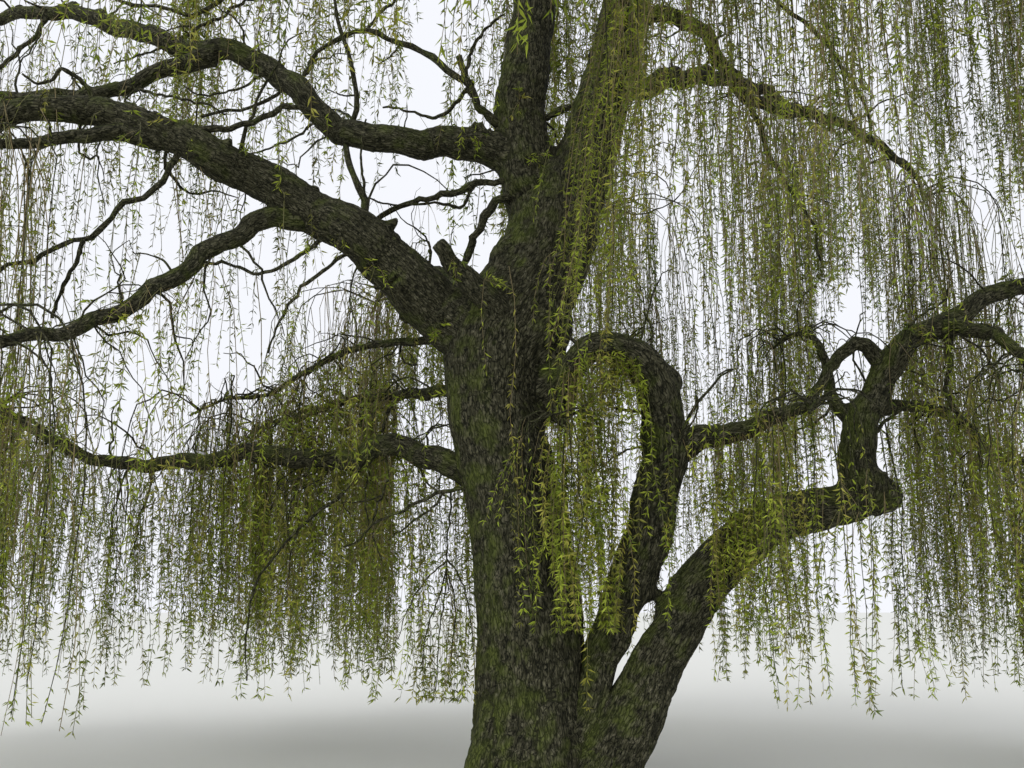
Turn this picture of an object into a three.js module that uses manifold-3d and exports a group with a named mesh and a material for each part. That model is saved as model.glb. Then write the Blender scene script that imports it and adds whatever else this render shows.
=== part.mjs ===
// A weeping willow in early leaf. One root collar carries a leaning trunk and two lower stems on its right,
// the trunk forks into two leaders, and long boughs arch out of them to a ring of hanging foliage.
// Millimetres, +Z up. The ground is z = 0, X runs to the right and Y away from the side the tree is seen from.
import * as THREE from 'three';
import { mergeVertices } from 'three/addons/utils/BufferGeometryUtils.js';
import Module from 'manifold-3d';

const wasm = await Module();
wasm.setup();

// Driving sizes
const TRUNK_RADIUS = 430;
const FLARE_REACH = 230;
const FLARE_HEIGHT = 420;
const ROOT_RIDGES = 5;
const CLEAR = 0.3;
const TAPER_BOW = 1.3;
const COLLAR_SHARE = 0.5;
const COLLAR_LENGTH = 4;
const TWIG_RADIUS = 18;
const STRAND_RADIUS = 16;
const STRAND_TIP_RADIUS = 9;
const SPRAY_LENGTH = 820;
const SPRAY_WIDTH = 150;
const SPRAY_THICKNESS = 18;
const SPRAY_FALL = -72;
const CELL_MARGIN = 75;
const LIMB_MARGIN = 45;
const LAYER_MARGIN = 60;

const BARK = new THREE.MeshStandardMaterial({ color: 0x3b3a2c, roughness: 0.95, metalness: 0 });
const FOLIAGE = new THREE.MeshStandardMaterial({ color: 0x8fa33a, roughness: 0.7, metalness: 0 });

// Every line is walked from a point in legs of [heading, rise, length]. Headings are in plan from +X towards +Y
// and rises above the level, both in degrees.
// The trunk leans to the left up to its great bough and back to the right to its fork. `girth` is the share of
// its radius at each corner.
const TRUNK = {
  from: [20, 0, -60],
  legs: [[0, 90, 770], [180, 88, 840], [180, 82, 880], [180, 78, 930], [30, 87, 470], [5, 63, 540],
    [5, 61, 390], [0, 73, 450], [10, 86, 400], [10, 86, 150]],
  girth: [1.1, 1.08, 1.07, 1, 0.96, 1.12, 1.08, 1.02, 0.98, 0.7, 0.4],
};

// Boughs and stems. `thick` is the radius where one leaves what carries it, before its collar, and `thin` its
// tip's. A `foot` is the part that belongs to the trunk, and a limb with `after` goes on from another's tip.
const LIMBS = {
  leader_left: { from: [110, 70, 4950], foot: [[170, 80, 910]],
    legs: [[60, 86, 900], [45, 83, 690], [125, 84, 1160], [130, 80, 1110], [-25, 86, 1010]],
    thick: 275, thin: 100 },
  leader_right: { from: [250, 65, 4850], foot: [[0, 70, 1260]],
    legs: [[-15, 78, 500], [-20, 76, 730], [-25, 77, 1090], [-15, 72, 1160], [20, 81, 1010]],
    thick: 300, thin: 100 },
  great_bough: { from: [-300, 20, 3720],
    legs: [[-165, 41, 700], [-165, 36, 630], [-165, 37, 520], [-170, 31, 580], [-165, 18, 660],
      [-170, 30, 660], [-175, 11, 460], [-170, -6, 490], [-165, -14, 630]],
    thick: 235, thin: 90 },
  great_spur: { from: [-3270, -680, 5540], legs: [[-160, 2, 340], [-140, -22, 520], [-125, -26, 520]],
    thick: 70, thin: 42 },
  high_bough: { from: [-60, 80, 5700],
    legs: [[-170, 8, 790], [180, 3, 750], [170, 30, 420], [170, 48, 490], [170, 38, 540], [170, 16, 830],
      [165, 24, 950], [160, 22, 740], [155, 9, 1190]],
    thick: 135, thin: 60 },
  high_fork: { from: [-3100, 190, 6840],
    legs: [[-175, -19, 400], [-170, -30, 630], [180, -6, 620], [-175, -2, 750]],
    thick: 78, thin: 56 },
  mid_bough: { from: [-1720, -360, 4850],
    legs: [[-170, 11, 370], [-165, -16, 360], [-145, -39, 540], [-130, -43, 730], [-125, -35, 710],
      [-105, -21, 520], [-105, -16, 420]],
    thick: 92, thin: 44 },
  low_bough: { from: [-140, 0, 2420],
    legs: [[170, 28, 830], [150, 17, 490], [155, -10, 640], [165, 8, 770], [160, -3, 930], [160, 4, 1100],
      [160, 22, 860], [155, 27, 760]],
    thick: 112, thin: 42 },
  thin_bough: { from: [-300, 20, 3880], legs: [[165, 3, 960], [145, 1, 580], [145, -13, 730], [145, -17, 540]],
    thick: 46, thin: 28 },
  back_left_bough: { from: [-280, 40, 3420], legs: [[150, 4, 880], [130, 5, 530], [135, 3, 890],
    [135, -5, 840]],
  thick: 60, thin: 34 },
  broken_stub: { from: [-160, -60, 3860], legs: [[-120, 32, 490], [-150, 44, 380], [-145, 36, 320]],
    thick: 115, thin: 64 },
  side_stem: { from: [240, -60, -60], foot: [[-15, 66, 760]],
    legs: [[-10, 71, 480], [-10, 73, 900], [-10, 73, 590], [-12, 74, 325], [-150, 82, 360],
      [-165, 67, 310]],
    thick: 232, thin: 186 },
  side_stem_arch: { after: 'side_stem', legs: [[-173, 44, 340], [-169, 9, 260], [-146, -49, 400],
    [-124, -65, 310]],
  thick: 186, thin: 46 },
  side_branch: { from: [1220, -240, 2830], legs: [[-15, 15, 400], [-25, 12, 420], [-35, 15, 360]],
    thick: 96, thin: 54 },
  low_stem: { from: [520, -200, -60], foot: [[-10, 65, 520]],
    legs: [[-5, 65, 320], [0, 61, 630], [5, 53, 650], [10, 40, 610], [10, 20, 510], [5, 10, 470]],
    thick: 272, thin: 178 },
  elbow_stem: { from: [2965, -15, 2500], collar: 0.12,
    legs: [[150, 88, 310], [10, 75, 390], [5, 64, 390], [10, 48, 400], [5, 32, 610], [10, 24, 760],
      [5, 9, 610]],
    thick: 138, thin: 70 },
  loop_arm: { from: [3290, 35, 3600],
    legs: [[-170, 49, 300], [-174, -5, 195], [-171, -52, 205], [-165, -51, 250], [-150, -46, 225]],
    thick: 66, thin: 40 },
  left_arm: { from: [3000, 0, 3070], legs: [[160, 46, 280], [115, 73, 330], [125, 72, 370]],
    thick: 62, thin: 36 },
  right_droop: { from: [3830, 100, 4020], legs: [[-60, -16, 480], [-75, -36, 520], [-75, -50, 320]],
    thick: 64, thin: 44 },
  right_low: { from: [3100, 20, 3230], legs: [[35, 9, 770], [40, -7, 810], [35, -23, 790]],
    thick: 54, thin: 38 },
  upper_right: { from: [880, -60, 7180], legs: [[35, 8, 1150], [40, -36, 820], [25, -3, 1320],
    [35, -11, 1250]],
  thick: 78, thin: 42 },
  back_bough_left: { from: [-230, 150, 3830], legs: [[110, 35, 1500], [115, 25, 1600], [110, 8, 1500]],
    thick: 140, thin: 56 },
  back_bough_mid: { from: [220, 70, 5000], legs: [[75, 40, 1500], [80, 28, 1700], [80, 10, 1400]],
    thick: 140, thin: 56 },
  back_bough_right: { from: [700, 20, 6300], legs: [[45, 28, 1500], [50, 20, 1600], [45, 4, 1300]],
    thick: 115, thin: 54 },
  left_front_bough: { from: [0, 210, 7700], legs: [[-130, 35, 1500], [-130, 25, 1500], [-135, 6, 1200]],
    thick: 112, thin: 50 },
  front_bough: { from: [1060, -130, 8100], legs: [[-100, 30, 1400], [-102, 20, 1500], [-98, 4, 1200]],
    thick: 108, thin: 50 },
  inner_front_bough: { from: [850, -40, 6900], legs: [[-85, 30, 900], [-70, 24, 800], [-60, 6, 600]],
    thick: 90, thin: 48 },
  front_right_bough: { from: [930, -90, 7400], legs: [[-35, 30, 1400], [-40, 18, 1400], [-38, 2, 1200]],
    thick: 112, thin: 50 },
  right_bough: { from: [1220, -170, 8550], legs: [[5, 25, 1100], [10, 15, 1000], [5, 2, 800]],
    thick: 88, thin: 48 },
  left_upper_bough: { from: [-70, 380, 8900], legs: [[165, 30, 1200], [170, 20, 1200], [165, 2, 900]],
    thick: 88, thin: 44 },
  back_upper_bough: { from: [-100, 430, 9300], legs: [[85, 30, 1100], [80, 18, 1100], [85, 0, 800]],
    thick: 84, thin: 44 },
};

// The slit between the two lower stems, under the place where they touch: its left and its right edge from the
// foot up, as places across and up at the depth `middle`, and how it leans from there to the back
const SLIT = {
  left: [[655, 783], [687, 888], [731, 985], [767, 1091], [811, 1135], [851, 1206], [870, 1324], [904, 1418],
    [944, 1482], [994, 1546], [1081, 1562]],
  right: [[682, 783], [731, 897], [789, 985], [845, 1097], [900, 1166], [967, 1250], [1034, 1345],
    [1063, 1408], [1081, 1493]],
  front: -750, middle: -230, back: 300, sideways: 0.112, fall: 0.04, beyond: 1400,
};

// Foliage masses. Each goes on from the tip of `bough`, its stem arches over along `legs`, and `count` strands
// hang from the stem down to about `bottom`, within `spread` of its middle.
const MASSES = {
  great_foliage: { bough: 'great_bough', legs: [[-165, -2, 500], [-165, -24, 500]], spread: 1200,
    bottom: 950, count: 6 },
  spur_foliage: { bough: 'great_spur', legs: [[-145, -6, 450], [-150, -28, 400]], spread: 900,
    bottom: 1250, count: 4 },
  mid_foliage: { bough: 'mid_bough', legs: [[-125, 4, 400], [-150, -18, 500]], spread: 1000,
    bottom: 700, count: 5 },
  high_fork_foliage: { bough: 'high_fork', legs: [[-175, 4, 450], [180, -20, 450]], spread: 1150,
    bottom: 850, count: 5 },
  high_foliage: { bough: 'high_bough', legs: [[165, 4, 450], [170, -20, 400]], spread: 1150,
    bottom: 1000, count: 5 },
  low_foliage: { bough: 'low_bough', legs: [[115, 14, 450], [110, -15, 450]], spread: 1100,
    bottom: 700, count: 5 },
  thin_foliage: { bough: 'thin_bough', legs: [[170, -4, 450], [175, -24, 400]], spread: 1000,
    bottom: 1150, count: 5 },
  back_left_foliage: { bough: 'back_left_bough', legs: [[130, 2, 600], [135, -15, 500]], spread: 1350,
    bottom: 750, count: 6 },
  back_foliage_left: { bough: 'back_bough_left', legs: [[110, 6, 600], [112, -20, 500]], spread: 1700,
    bottom: 800, count: 6 },
  back_foliage_mid: { bough: 'back_bough_mid', legs: [[80, 6, 600], [78, -20, 500]], spread: 1700,
    bottom: 850, count: 6 },
  back_foliage_right: { bough: 'back_bough_right', legs: [[45, 6, 600], [42, -20, 500]], spread: 1600,
    bottom: 900, count: 7 },
  elbow_foliage: { bough: 'elbow_stem', legs: [[5, 4, 500], [0, -20, 450]], spread: 1300,
    bottom: 750, count: 6 },
  right_droop_foliage: { bough: 'right_droop', legs: [[-65, -4, 450], [-55, -18, 450]], spread: 1200,
    bottom: 850, count: 5 },
  right_low_foliage: { bough: 'right_low', legs: [[20, 0, 400], [15, -18, 450]], spread: 1100,
    bottom: 650, count: 5 },
  upper_right_foliage: { bough: 'upper_right', legs: [[55, 0, 500], [60, -22, 450]], spread: 1250,
    bottom: 850, count: 5 },
  left_arm_foliage: { bough: 'left_arm', legs: [[125, 28, 250], [140, -24, 300]], spread: 700,
    bottom: 1500, count: 4 },
  side_branch_foliage: { bough: 'side_branch', legs: [[-80, 0, 350], [-120, -24, 350]], spread: 600,
    bottom: 750, count: 5 },
  arch_foliage: { bough: 'side_stem_arch', legs: [[-100, -66, 150], [-80, -72, 130]], spread: 420,
    bottom: 1300, count: 4 },
  left_front_foliage: { bough: 'left_front_bough', legs: [[-130, 4, 600], [-128, -18, 500]], spread: 1700,
    bottom: 5150, count: 6 },
  front_foliage: { bough: 'front_bough', legs: [[-95, 4, 600], [-92, -18, 500]], spread: 1700,
    bottom: 4900, count: 6 },
  inner_front_foliage: { bough: 'inner_front_bough', legs: [[-55, 2, 450], [-50, -20, 400]], spread: 1200,
    bottom: 3450, count: 7 },
  front_right_foliage: { bough: 'front_right_bough', legs: [[-38, 4, 600], [-36, -18, 500]], spread: 1600,
    bottom: 3850, count: 6 },
  right_foliage: { bough: 'right_bough', legs: [[5, 4, 600], [0, -18, 500]], spread: 1600,
    bottom: 5100, count: 6 },
  left_upper_foliage: { bough: 'left_upper_bough', legs: [[165, 4, 600], [168, -18, 500]], spread: 1600,
    bottom: 6200, count: 6 },
  back_upper_foliage: { bough: 'back_upper_bough', legs: [[82, 4, 600], [80, -18, 500]], spread: 1600,
    bottom: 5900, count: 5 },
  top_foliage_left: { bough: 'leader_left', legs: [[-160, 74, 800], [175, 45, 700], [170, -6, 500]],
    spread: 1700, bottom: 8300, count: 7 },
  top_foliage_right: { bough: 'leader_right', legs: [[-30, 72, 700], [-20, 40, 700], [-20, -8, 500]],
    spread: 1700, bottom: 7300, count: 6 },
};

const vector = (p) => new THREE.Vector3(...p);

function direction(heading, rise) {
  const turn = THREE.MathUtils.degToRad(heading);
  const lift = THREE.MathUtils.degToRad(rise);
  return new THREE.Vector3(Math.cos(lift) * Math.cos(turn), Math.cos(lift) * Math.sin(turn), Math.sin(lift));
}

// The corner points reached by walking the legs from a point
function walk(from, legs) {
  const points = [from.clone()];
  for (const [heading, rise, length] of legs) {
    points.push(points[points.length - 1].clone().addScaledVector(direction(heading, rise), length));
  }
  return points;
}

// The steps of a line through corner points: each holds its place, the way ahead, two ways across it and the
// length so far. The ways across turn no more than the line does.
function course(places) {
  let across = null;
  let along = 0;
  return places.map((at, i) => {
    const before = places[Math.max(i - 1, 0)];
    const ahead = places[Math.min(i + 1, places.length - 1)].clone().sub(before).normalize();
    if (!across) across = Math.abs(ahead.z) > 0.9 ? new THREE.Vector3(1, 0, 0) : new THREE.Vector3(0, 0, 1);
    across = across.clone().addScaledVector(ahead, -across.dot(ahead)).normalize();
    along += at.distanceTo(before);
    return { at, ahead, across, over: ahead.clone().cross(across), along };
  });
}

function solid(position, index) {
  return new wasm.Manifold(new wasm.Mesh({
    numProp: 3,
    vertProperties: new Float32Array(position),
    triVerts: new Uint32Array(index),
  }));
}

// A closed tube along the steps of a line, with the radius that `radius` gives for a step and an angle, and
// `longer` at both ends
function tube(steps, radius, sides, longer = 0) {
  const position = [];
  const index = [];
  for (const step of steps) {
    const centre = step.at.clone();
    if (step === steps[0]) centre.addScaledVector(step.ahead, -longer);
    if (step === steps.at(-1)) centre.addScaledVector(step.ahead, longer);
    for (let j = 0; j < sides; j += 1) {
      const angle = (2 * Math.PI * j) / sides;
      const r = radius(step, angle);
      const corner = centre.clone()
        .addScaledVector(step.across, r * Math.cos(angle))
        .addScaledVector(step.over, r * Math.sin(angle));
      position.push(...corner.toArray());
    }
  }
  for (let i = 0; i < steps.length - 1; i += 1) {
    for (let j = 0; j < sides; j += 1) {
      const a = i * sides + j;
      const b = i * sides + ((j + 1) % sides);
      index.push(a, b, b + sides, a, b + sides, a + sides);
    }
  }
  const last = (steps.length - 1) * sides;
  for (let j = 1; j < sides - 1; j += 1) {
    index.push(0, j + 1, j);
    index.push(last, last + j, last + j + 1);
  }
  return solid(position, index);
}

// The largest closed piece of a solid: loose scraps left by a cut are dropped
function largest(shape) {
  return shape.decompose().reduce((a, b) => (a.volume() > b.volume() ? a : b));
}

// What goes on from a limb's tip without a break: another limb, or a mass's stem
function following(name) {
  const next = Object.entries(LIMBS).find(([, limb]) => limb.after === name);
  return next || Object.entries(MASSES).find(([, mass]) => mass.bough === name);
}

// One line from a limb's root through all that goes on from it, shared out among them.
// The trunk's share of a line is kept under the limb's name with `_foot`.
const courses = {};
function layOut(name, limb) {
  const parts = [[`${name}_foot`, limb.foot || []], [name, limb.legs]];
  let next = following(name);
  while (next) {
    parts.push([next[0], next[1].legs]);
    next = following(next[0]);
  }
  const line = course(walk(vector(limb.from), parts.flatMap((part) => part[1])));
  let first = 0;
  for (const [part, legs] of parts) {
    const last = first + legs.length;
    const own = line.slice(first, last + 1).map((step) => ({ ...step, along: step.along - line[first].along }));
    if (part !== `${name}_foot` && first > 0) own[0].at = own[0].at.clone().addScaledVector(own[0].ahead, CLEAR);
    if (part in LIMBS && !following(part)) {
      const end = own.at(-1);
      const { thin } = LIMBS[part];
      own.push({ ...end, at: end.at.clone().addScaledVector(end.ahead, 0.5 * thin), rounded: 0.6 });
    }
    courses[part] = own;
    first = last;
  }
}
for (const [name, limb] of Object.entries(LIMBS)) {
  if (limb.from) layOut(name, limb);
}

// A limb's radius falls towards its tip, a little faster further out, and swells where it leaves another
function limbRadius(name, grow) {
  const { thick, thin, foot, after, collar = COLLAR_SHARE } = LIMBS[name];
  const footLength = foot ? courses[`${name}_foot`].at(-1).along : 0;
  const whole = footLength + courses[name].at(-1).along;
  const swell = foot || after ? 0 : collar * thick;
  return ({ along, rounded = 1 }, inFoot = false) => {
    const gone = inFoot ? along : footLength + along;
    const taper = thin + (thick - thin) * (1 - (gone / whole) ** TAPER_BOW);
    return rounded * (taper + swell * Math.exp(-gone / (COLLAR_LENGTH * thick))) + grow;
  };
}

function limbSides({ thick }) {
  if (thick > 200) return 12;
  return thick > 110 ? 8 : 6;
}

function limbTube(name, grow) {
  const radius = limbRadius(name, grow);
  return tube(courses[name], (step) => radius(step), limbSides(LIMBS[name]), 0.8 * grow);
}

// The radial growth of the roots over the trunk at a height
function flareAt(height) {
  return FLARE_REACH * Math.exp(-Math.max(height, 0) / FLARE_HEIGHT);
}

// The trunk with the feet of its leaders and lower stems, cut flat at the ground
const trunkCourse = course(walk(vector(TRUNK.from), TRUNK.legs));
function trunkSolid(grow) {
  const trunk = tube(trunkCourse, (step, angle) => {
    const ridges = 1 + 0.35 * Math.cos(ROOT_RIDGES * angle);
    return TRUNK_RADIUS * TRUNK.girth[trunkCourse.indexOf(step)] + flareAt(step.at.z) * ridges + grow;
  }, 20, 0.8 * grow);
  const feet = Object.keys(LIMBS).filter((name) => LIMBS[name].foot).map((name) => {
    const radius = limbRadius(name, grow);
    return tube(courses[`${name}_foot`], (step, angle) => {
      const ridges = 1 + 0.3 * Math.cos(3 * angle);
      return radius(step, true) + 0.5 * flareAt(2 * step.at.z) * ridges;
    }, 12, 0.8 * grow);
  });
  return wasm.Manifold.union([trunk, ...feet]).trimByPlane([0, 0, 1], 0);
}

// A closed bar through the lower stems from front to back, with an outline of places across and up
function bar(outline) {
  const flat = outline.map(([x, z]) => new THREE.Vector2(x, z));
  const count = flat.length;
  const position = [SLIT.front, SLIT.back].flatMap((y) => {
    const back = y - SLIT.middle;
    return flat.flatMap((place) => [place.x + SLIT.sideways * back, y, place.y - SLIT.fall * back]);
  });
  const index = THREE.ShapeUtils.triangulateShape(flat, [])
    .flatMap(([a, b, c]) => [a, b, c, count + a, count + c, count + b]);
  for (let i = 0; i < count; i += 1) {
    const j = (i + 1) % count;
    index.push(i, count + i, count + j, i, count + j, j);
  }
  return solid(position, index);
}

// All that lies right of the slit's left edge, `gap` inside its foot and its head
function besideSlit(gap) {
  const low = SLIT.left[0][1] + gap;
  const high = SLIT.left.at(-1)[1] - gap;
  const edge = SLIT.left.map(([x, z]) => [x, Math.min(Math.max(z, low), high)]);
  return bar([[SLIT.beyond, low], [SLIT.beyond, high], ...edge.reverse()]);
}

// The slit itself, a little wider than it is seen
function slitBar() {
  const left = SLIT.left.map(([x, z]) => [x - 5, z]);
  return bar([...SLIT.right, ...left.reverse()]);
}

// Each limb is cut clear of all that were made before it
const solids = { trunk: trunkSolid(0) };
const cutters = { trunk: trunkSolid(CLEAR) };
for (const [name, limb] of Object.entries(LIMBS)) {
  const others = Object.keys(cutters).filter((other) => other !== limb.after);
  let shape = others.reduce((rest, other) => rest.subtract(cutters[other]), limbTube(name, 0));
  cutters[name] = limbTube(name, CLEAR);
  if (name === 'side_stem') {
    shape = shape.subtract(besideSlit(0));
    cutters[name] = cutters[name].subtract(besideSlit(CLEAR));
  }
  if (name === 'low_stem') shape = shape.subtract(slitBar());
  solids[name] = largest(shape);
}

// Places along the trunk and every limb with the radius there, for keeping twigs and leaves off them
const guards = [];
function guard(steps, radius) {
  for (let i = 0; i < steps.length - 1; i += 1) {
    const pieces = Math.ceil(steps[i].at.distanceTo(steps[i + 1].at) / 120);
    for (let k = 0; k < pieces; k += 1) {
      guards.push({ at: steps[i].at.clone().lerp(steps[i + 1].at, k / pieces), radius: radius(steps[i]) });
    }
  }
}
guard(trunkCourse, () => 1.1 * TRUNK_RADIUS);
for (const [name, limb] of Object.entries(LIMBS)) {
  if (limb.foot) guard(courses[`${name}_foot`], () => limb.thick);
  guard(courses[name], limbRadius(name, 0));
}

// A mass's space: its heart in plan, on its stem, the way the stem leads, and the heights it stays between
const spaces = {};
for (const [name, mass] of Object.entries(MASSES)) {
  const stem = courses[name];
  const way = stem.at(-1).at.clone().sub(stem[0].at).setZ(0).normalize();
  spaces[name] = {
    heart: stem[Math.round(0.6 * (stem.length - 1))].at.clone().setZ(0),
    way,
    low: mass.bottom - 30,
    high: Math.max(...stem.map(({ at }) => at.z)) + 240,
  };
}

// Whether a point keeps to its mass's space: at its heights, and in plan nearer its own heart than that of any
// mass at the same height
function inSpace(name, point) {
  const own = spaces[name];
  if (point.z < own.low || point.z > own.high) return false;
  return Object.entries(spaces).every(([other, space]) => {
    if (other === name || space.low > own.high + LAYER_MARGIN || space.high < own.low - LAYER_MARGIN) return true;
    const away = space.heart.clone().sub(own.heart);
    const middle = own.heart.clone().add(space.heart).multiplyScalar(0.5);
    return point.clone().sub(middle).dot(away) / away.length() < -CELL_MARGIN;
  });
}

// Whether a stretch of twig or leaf stays off every limb
function offLimbs(a, b, radius) {
  const pieces = Math.max(Math.ceil(a.distanceTo(b) / 80), 1);
  for (let k = 0; k <= pieces; k += 1) {
    const point = a.clone().lerp(b, k / pieces);
    if (guards.some((g) => g.at.distanceTo(point) < g.radius + radius + LIMB_MARGIN)) return false;
  }
  return true;
}

// Repeatable random numbers from 0 to 1
function seeded(seed) {
  let state = seed >>> 0;
  return () => {
    state = (state + 0x6d2b79f5) >>> 0;
    let mixed = Math.imul(state ^ (state >>> 15), state | 1);
    mixed ^= mixed + Math.imul(mixed ^ (mixed >>> 7), mixed | 61);
    return ((mixed ^ (mixed >>> 14)) >>> 0) / 4294967296;
  };
}

// Strand number k of a mass: its foot falls on an even scatter over a disc round the mass's heart. It rises
// out of the stem about as far along it as that foot lies, bends over and hangs down.
function strandLine(name, k, random) {
  const { spread, bottom } = MASSES[name];
  const { heart, way } = spaces[name];
  const stem = courses[name];
  const turn = 360 * ((0.5 + k * 0.7548776662466927) % 1);
  const out = spread * Math.sqrt((0.5 + k * 0.5698402909980532) % 1);
  const foot = heart.clone().addScaledVector(direction(turn, 0), out);
  const share = 0.56 + (0.42 * foot.clone().sub(heart).dot(way)) / spread;
  const place = share * (stem.length - 1);
  const at = Math.floor(place);
  const root = stem[at].at.clone().lerp(stem[at + 1].at, place - at);
  const reach = Math.hypot(foot.x - root.x, foot.y - root.y);
  const crest = root.clone().lerp(foot.clone().setZ(root.z), 0.45);
  crest.z += Math.min(0.22 * reach, 190);
  const shoulder = foot.clone().setZ(root.z - 0.06 * reach);
  const end = bottom + (shoulder.z - bottom) * 0.4 * random() ** 2;
  const drift = direction(360 * random(), 0).multiplyScalar(0.035 * (shoulder.z - end));
  return [root, crest, shoulder, foot.clone().add(drift).setZ(end)];
}

// A spray of leaves: a slim eight-faced blade whose root lies on the strand's own line
function spray(root, way, turn) {
  const across = new THREE.Vector3(0, 0, 1).cross(way).normalize().applyAxisAngle(way, turn);
  const over = way.clone().cross(across);
  const middle = root.clone().addScaledVector(way, 0.36 * SPRAY_LENGTH);
  const corners = [
    root,
    root.clone().addScaledVector(way, SPRAY_LENGTH),
    middle.clone().addScaledVector(across, SPRAY_WIDTH / 2),
    middle.clone().addScaledVector(over, SPRAY_THICKNESS / 2),
    middle.clone().addScaledVector(across, -SPRAY_WIDTH / 2),
    middle.clone().addScaledVector(over, -SPRAY_THICKNESS / 2),
  ];
  const index = [];
  for (let j = 0; j < 4; j += 1) {
    const a = 2 + j;
    const b = 2 + ((j + 1) % 4);
    index.push(0, b, a, 1, a, b);
  }
  return solid(corners.flatMap((p) => p.toArray()), index);
}

// Two sprays on the hanging part of a strand, both ending above its foot
function spraysOn(name, [, , shoulder, foot], random) {
  const fall = -Math.sin(THREE.MathUtils.degToRad(SPRAY_FALL)) * SPRAY_LENGTH;
  const room = Math.max(shoulder.z - foot.z - fall, 0);
  const sprays = [];
  for (const part of [0, 1]) {
    const height = foot.z + fall + (room * (part + random())) / 2;
    const root = shoulder.clone().lerp(foot, (shoulder.z - height) / (shoulder.z - foot.z));
    const way = direction(360 * random(), SPRAY_FALL);
    const tip = root.clone().addScaledVector(way, SPRAY_LENGTH);
    const turn = Math.PI * random();
    if (inSpace(name, tip) && offLimbs(root, tip, SPRAY_WIDTH / 2)) sprays.push(spray(root, way, turn));
  }
  return sprays;
}

// A mass: its stem, and the first `count` strands of the scatter that keep to its space and off the limbs
function massSolid(name, number) {
  const { bough, count } = MASSES[name];
  const stem = courses[name];
  const random = seeded(9176 + 331 * number);
  const thick = LIMBS[bough].thin;
  const whole = stem.at(-1).along;
  const pieces = [tube(stem, ({ along }) => thick + ((TWIG_RADIUS - thick) * along) / whole, thick > 80 ? 8 : 6)];
  let grown = 0;
  for (let k = 0; k < 60 && grown < count; k += 1) {
    const line = strandLine(name, k, random);
    const sprays = spraysOn(name, line, random);
    const clear = line.slice(1).every((p) => inSpace(name, p))
      && line.slice(2).every((p, i) => offLimbs(line[i + 1], p, STRAND_RADIUS));
    if (clear) {
      const steps = course(line);
      const length = steps.at(-1).along;
      const radius = ({ along }) => STRAND_RADIUS + ((STRAND_TIP_RADIUS - STRAND_RADIUS) * along) / length;
      pieces.push(tube(steps, radius, 3), ...sprays);
      grown += 1;
    }
  }
  return largest(wasm.Manifold.union(pieces));
}
Object.keys(MASSES).forEach((name, number) => {
  solids[name] = massSolid(name, number);
});

// Each solid as a named mesh
function meshOf(name, shape) {
  const { numProp, numVert, vertProperties, triVerts } = shape.getMesh();
  const position = new Float32Array(numVert * 3);
  for (let i = 0; i < numVert; i += 1) {
    position.set(vertProperties.subarray(i * numProp, i * numProp + 3), i * 3);
  }
  const geometry = new THREE.BufferGeometry();
  geometry.setAttribute('position', new THREE.BufferAttribute(position, 3));
  geometry.setIndex(new THREE.BufferAttribute(new Uint32Array(triVerts), 1));
  const mesh = new THREE.Mesh(mergeVertices(geometry, 1e-3), name in MASSES ? FOLIAGE : BARK);
  mesh.name = name;
  return mesh;
}

const willow = new THREE.Group();
willow.name = 'weeping_willow';
for (const [name, shape] of Object.entries(solids)) willow.add(meshOf(name, shape));

export default willow;
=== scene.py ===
# A weeping willow in early leaf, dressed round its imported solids: fissured bark over the trunk and boughs,
# and curtains of thin twigs with young leaves in place of the plain foliage masses.
import math

import bpy
import numpy as np
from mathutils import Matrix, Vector


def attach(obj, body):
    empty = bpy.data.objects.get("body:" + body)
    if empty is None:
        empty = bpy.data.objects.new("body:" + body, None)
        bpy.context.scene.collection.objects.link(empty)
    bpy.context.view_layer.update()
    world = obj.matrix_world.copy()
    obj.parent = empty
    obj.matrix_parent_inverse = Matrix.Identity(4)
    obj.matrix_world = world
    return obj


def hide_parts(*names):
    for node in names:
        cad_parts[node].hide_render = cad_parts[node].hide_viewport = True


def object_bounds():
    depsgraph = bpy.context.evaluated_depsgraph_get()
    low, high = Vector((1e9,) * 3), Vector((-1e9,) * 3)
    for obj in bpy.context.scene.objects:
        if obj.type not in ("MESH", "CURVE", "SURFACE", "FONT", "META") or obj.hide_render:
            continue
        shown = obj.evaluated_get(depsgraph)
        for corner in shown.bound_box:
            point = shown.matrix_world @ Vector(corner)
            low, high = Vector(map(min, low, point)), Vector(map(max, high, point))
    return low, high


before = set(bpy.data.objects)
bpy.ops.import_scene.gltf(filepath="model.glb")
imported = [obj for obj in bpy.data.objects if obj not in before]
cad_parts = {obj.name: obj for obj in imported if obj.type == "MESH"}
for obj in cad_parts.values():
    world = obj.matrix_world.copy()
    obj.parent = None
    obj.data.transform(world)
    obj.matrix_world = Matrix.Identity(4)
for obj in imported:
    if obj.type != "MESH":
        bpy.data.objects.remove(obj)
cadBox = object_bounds()
boxLow, boxHigh = (np.array(corner) for corner in cadBox)

mm = 0.001  # the tables below are in millimetres and degrees, and everything that is built is in metres


# A table from rows, of which a short one has no more than its first columns
def table(columns, rows):
    return {name: dict(zip(columns, row)) for name, row in rows.items()}


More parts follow.
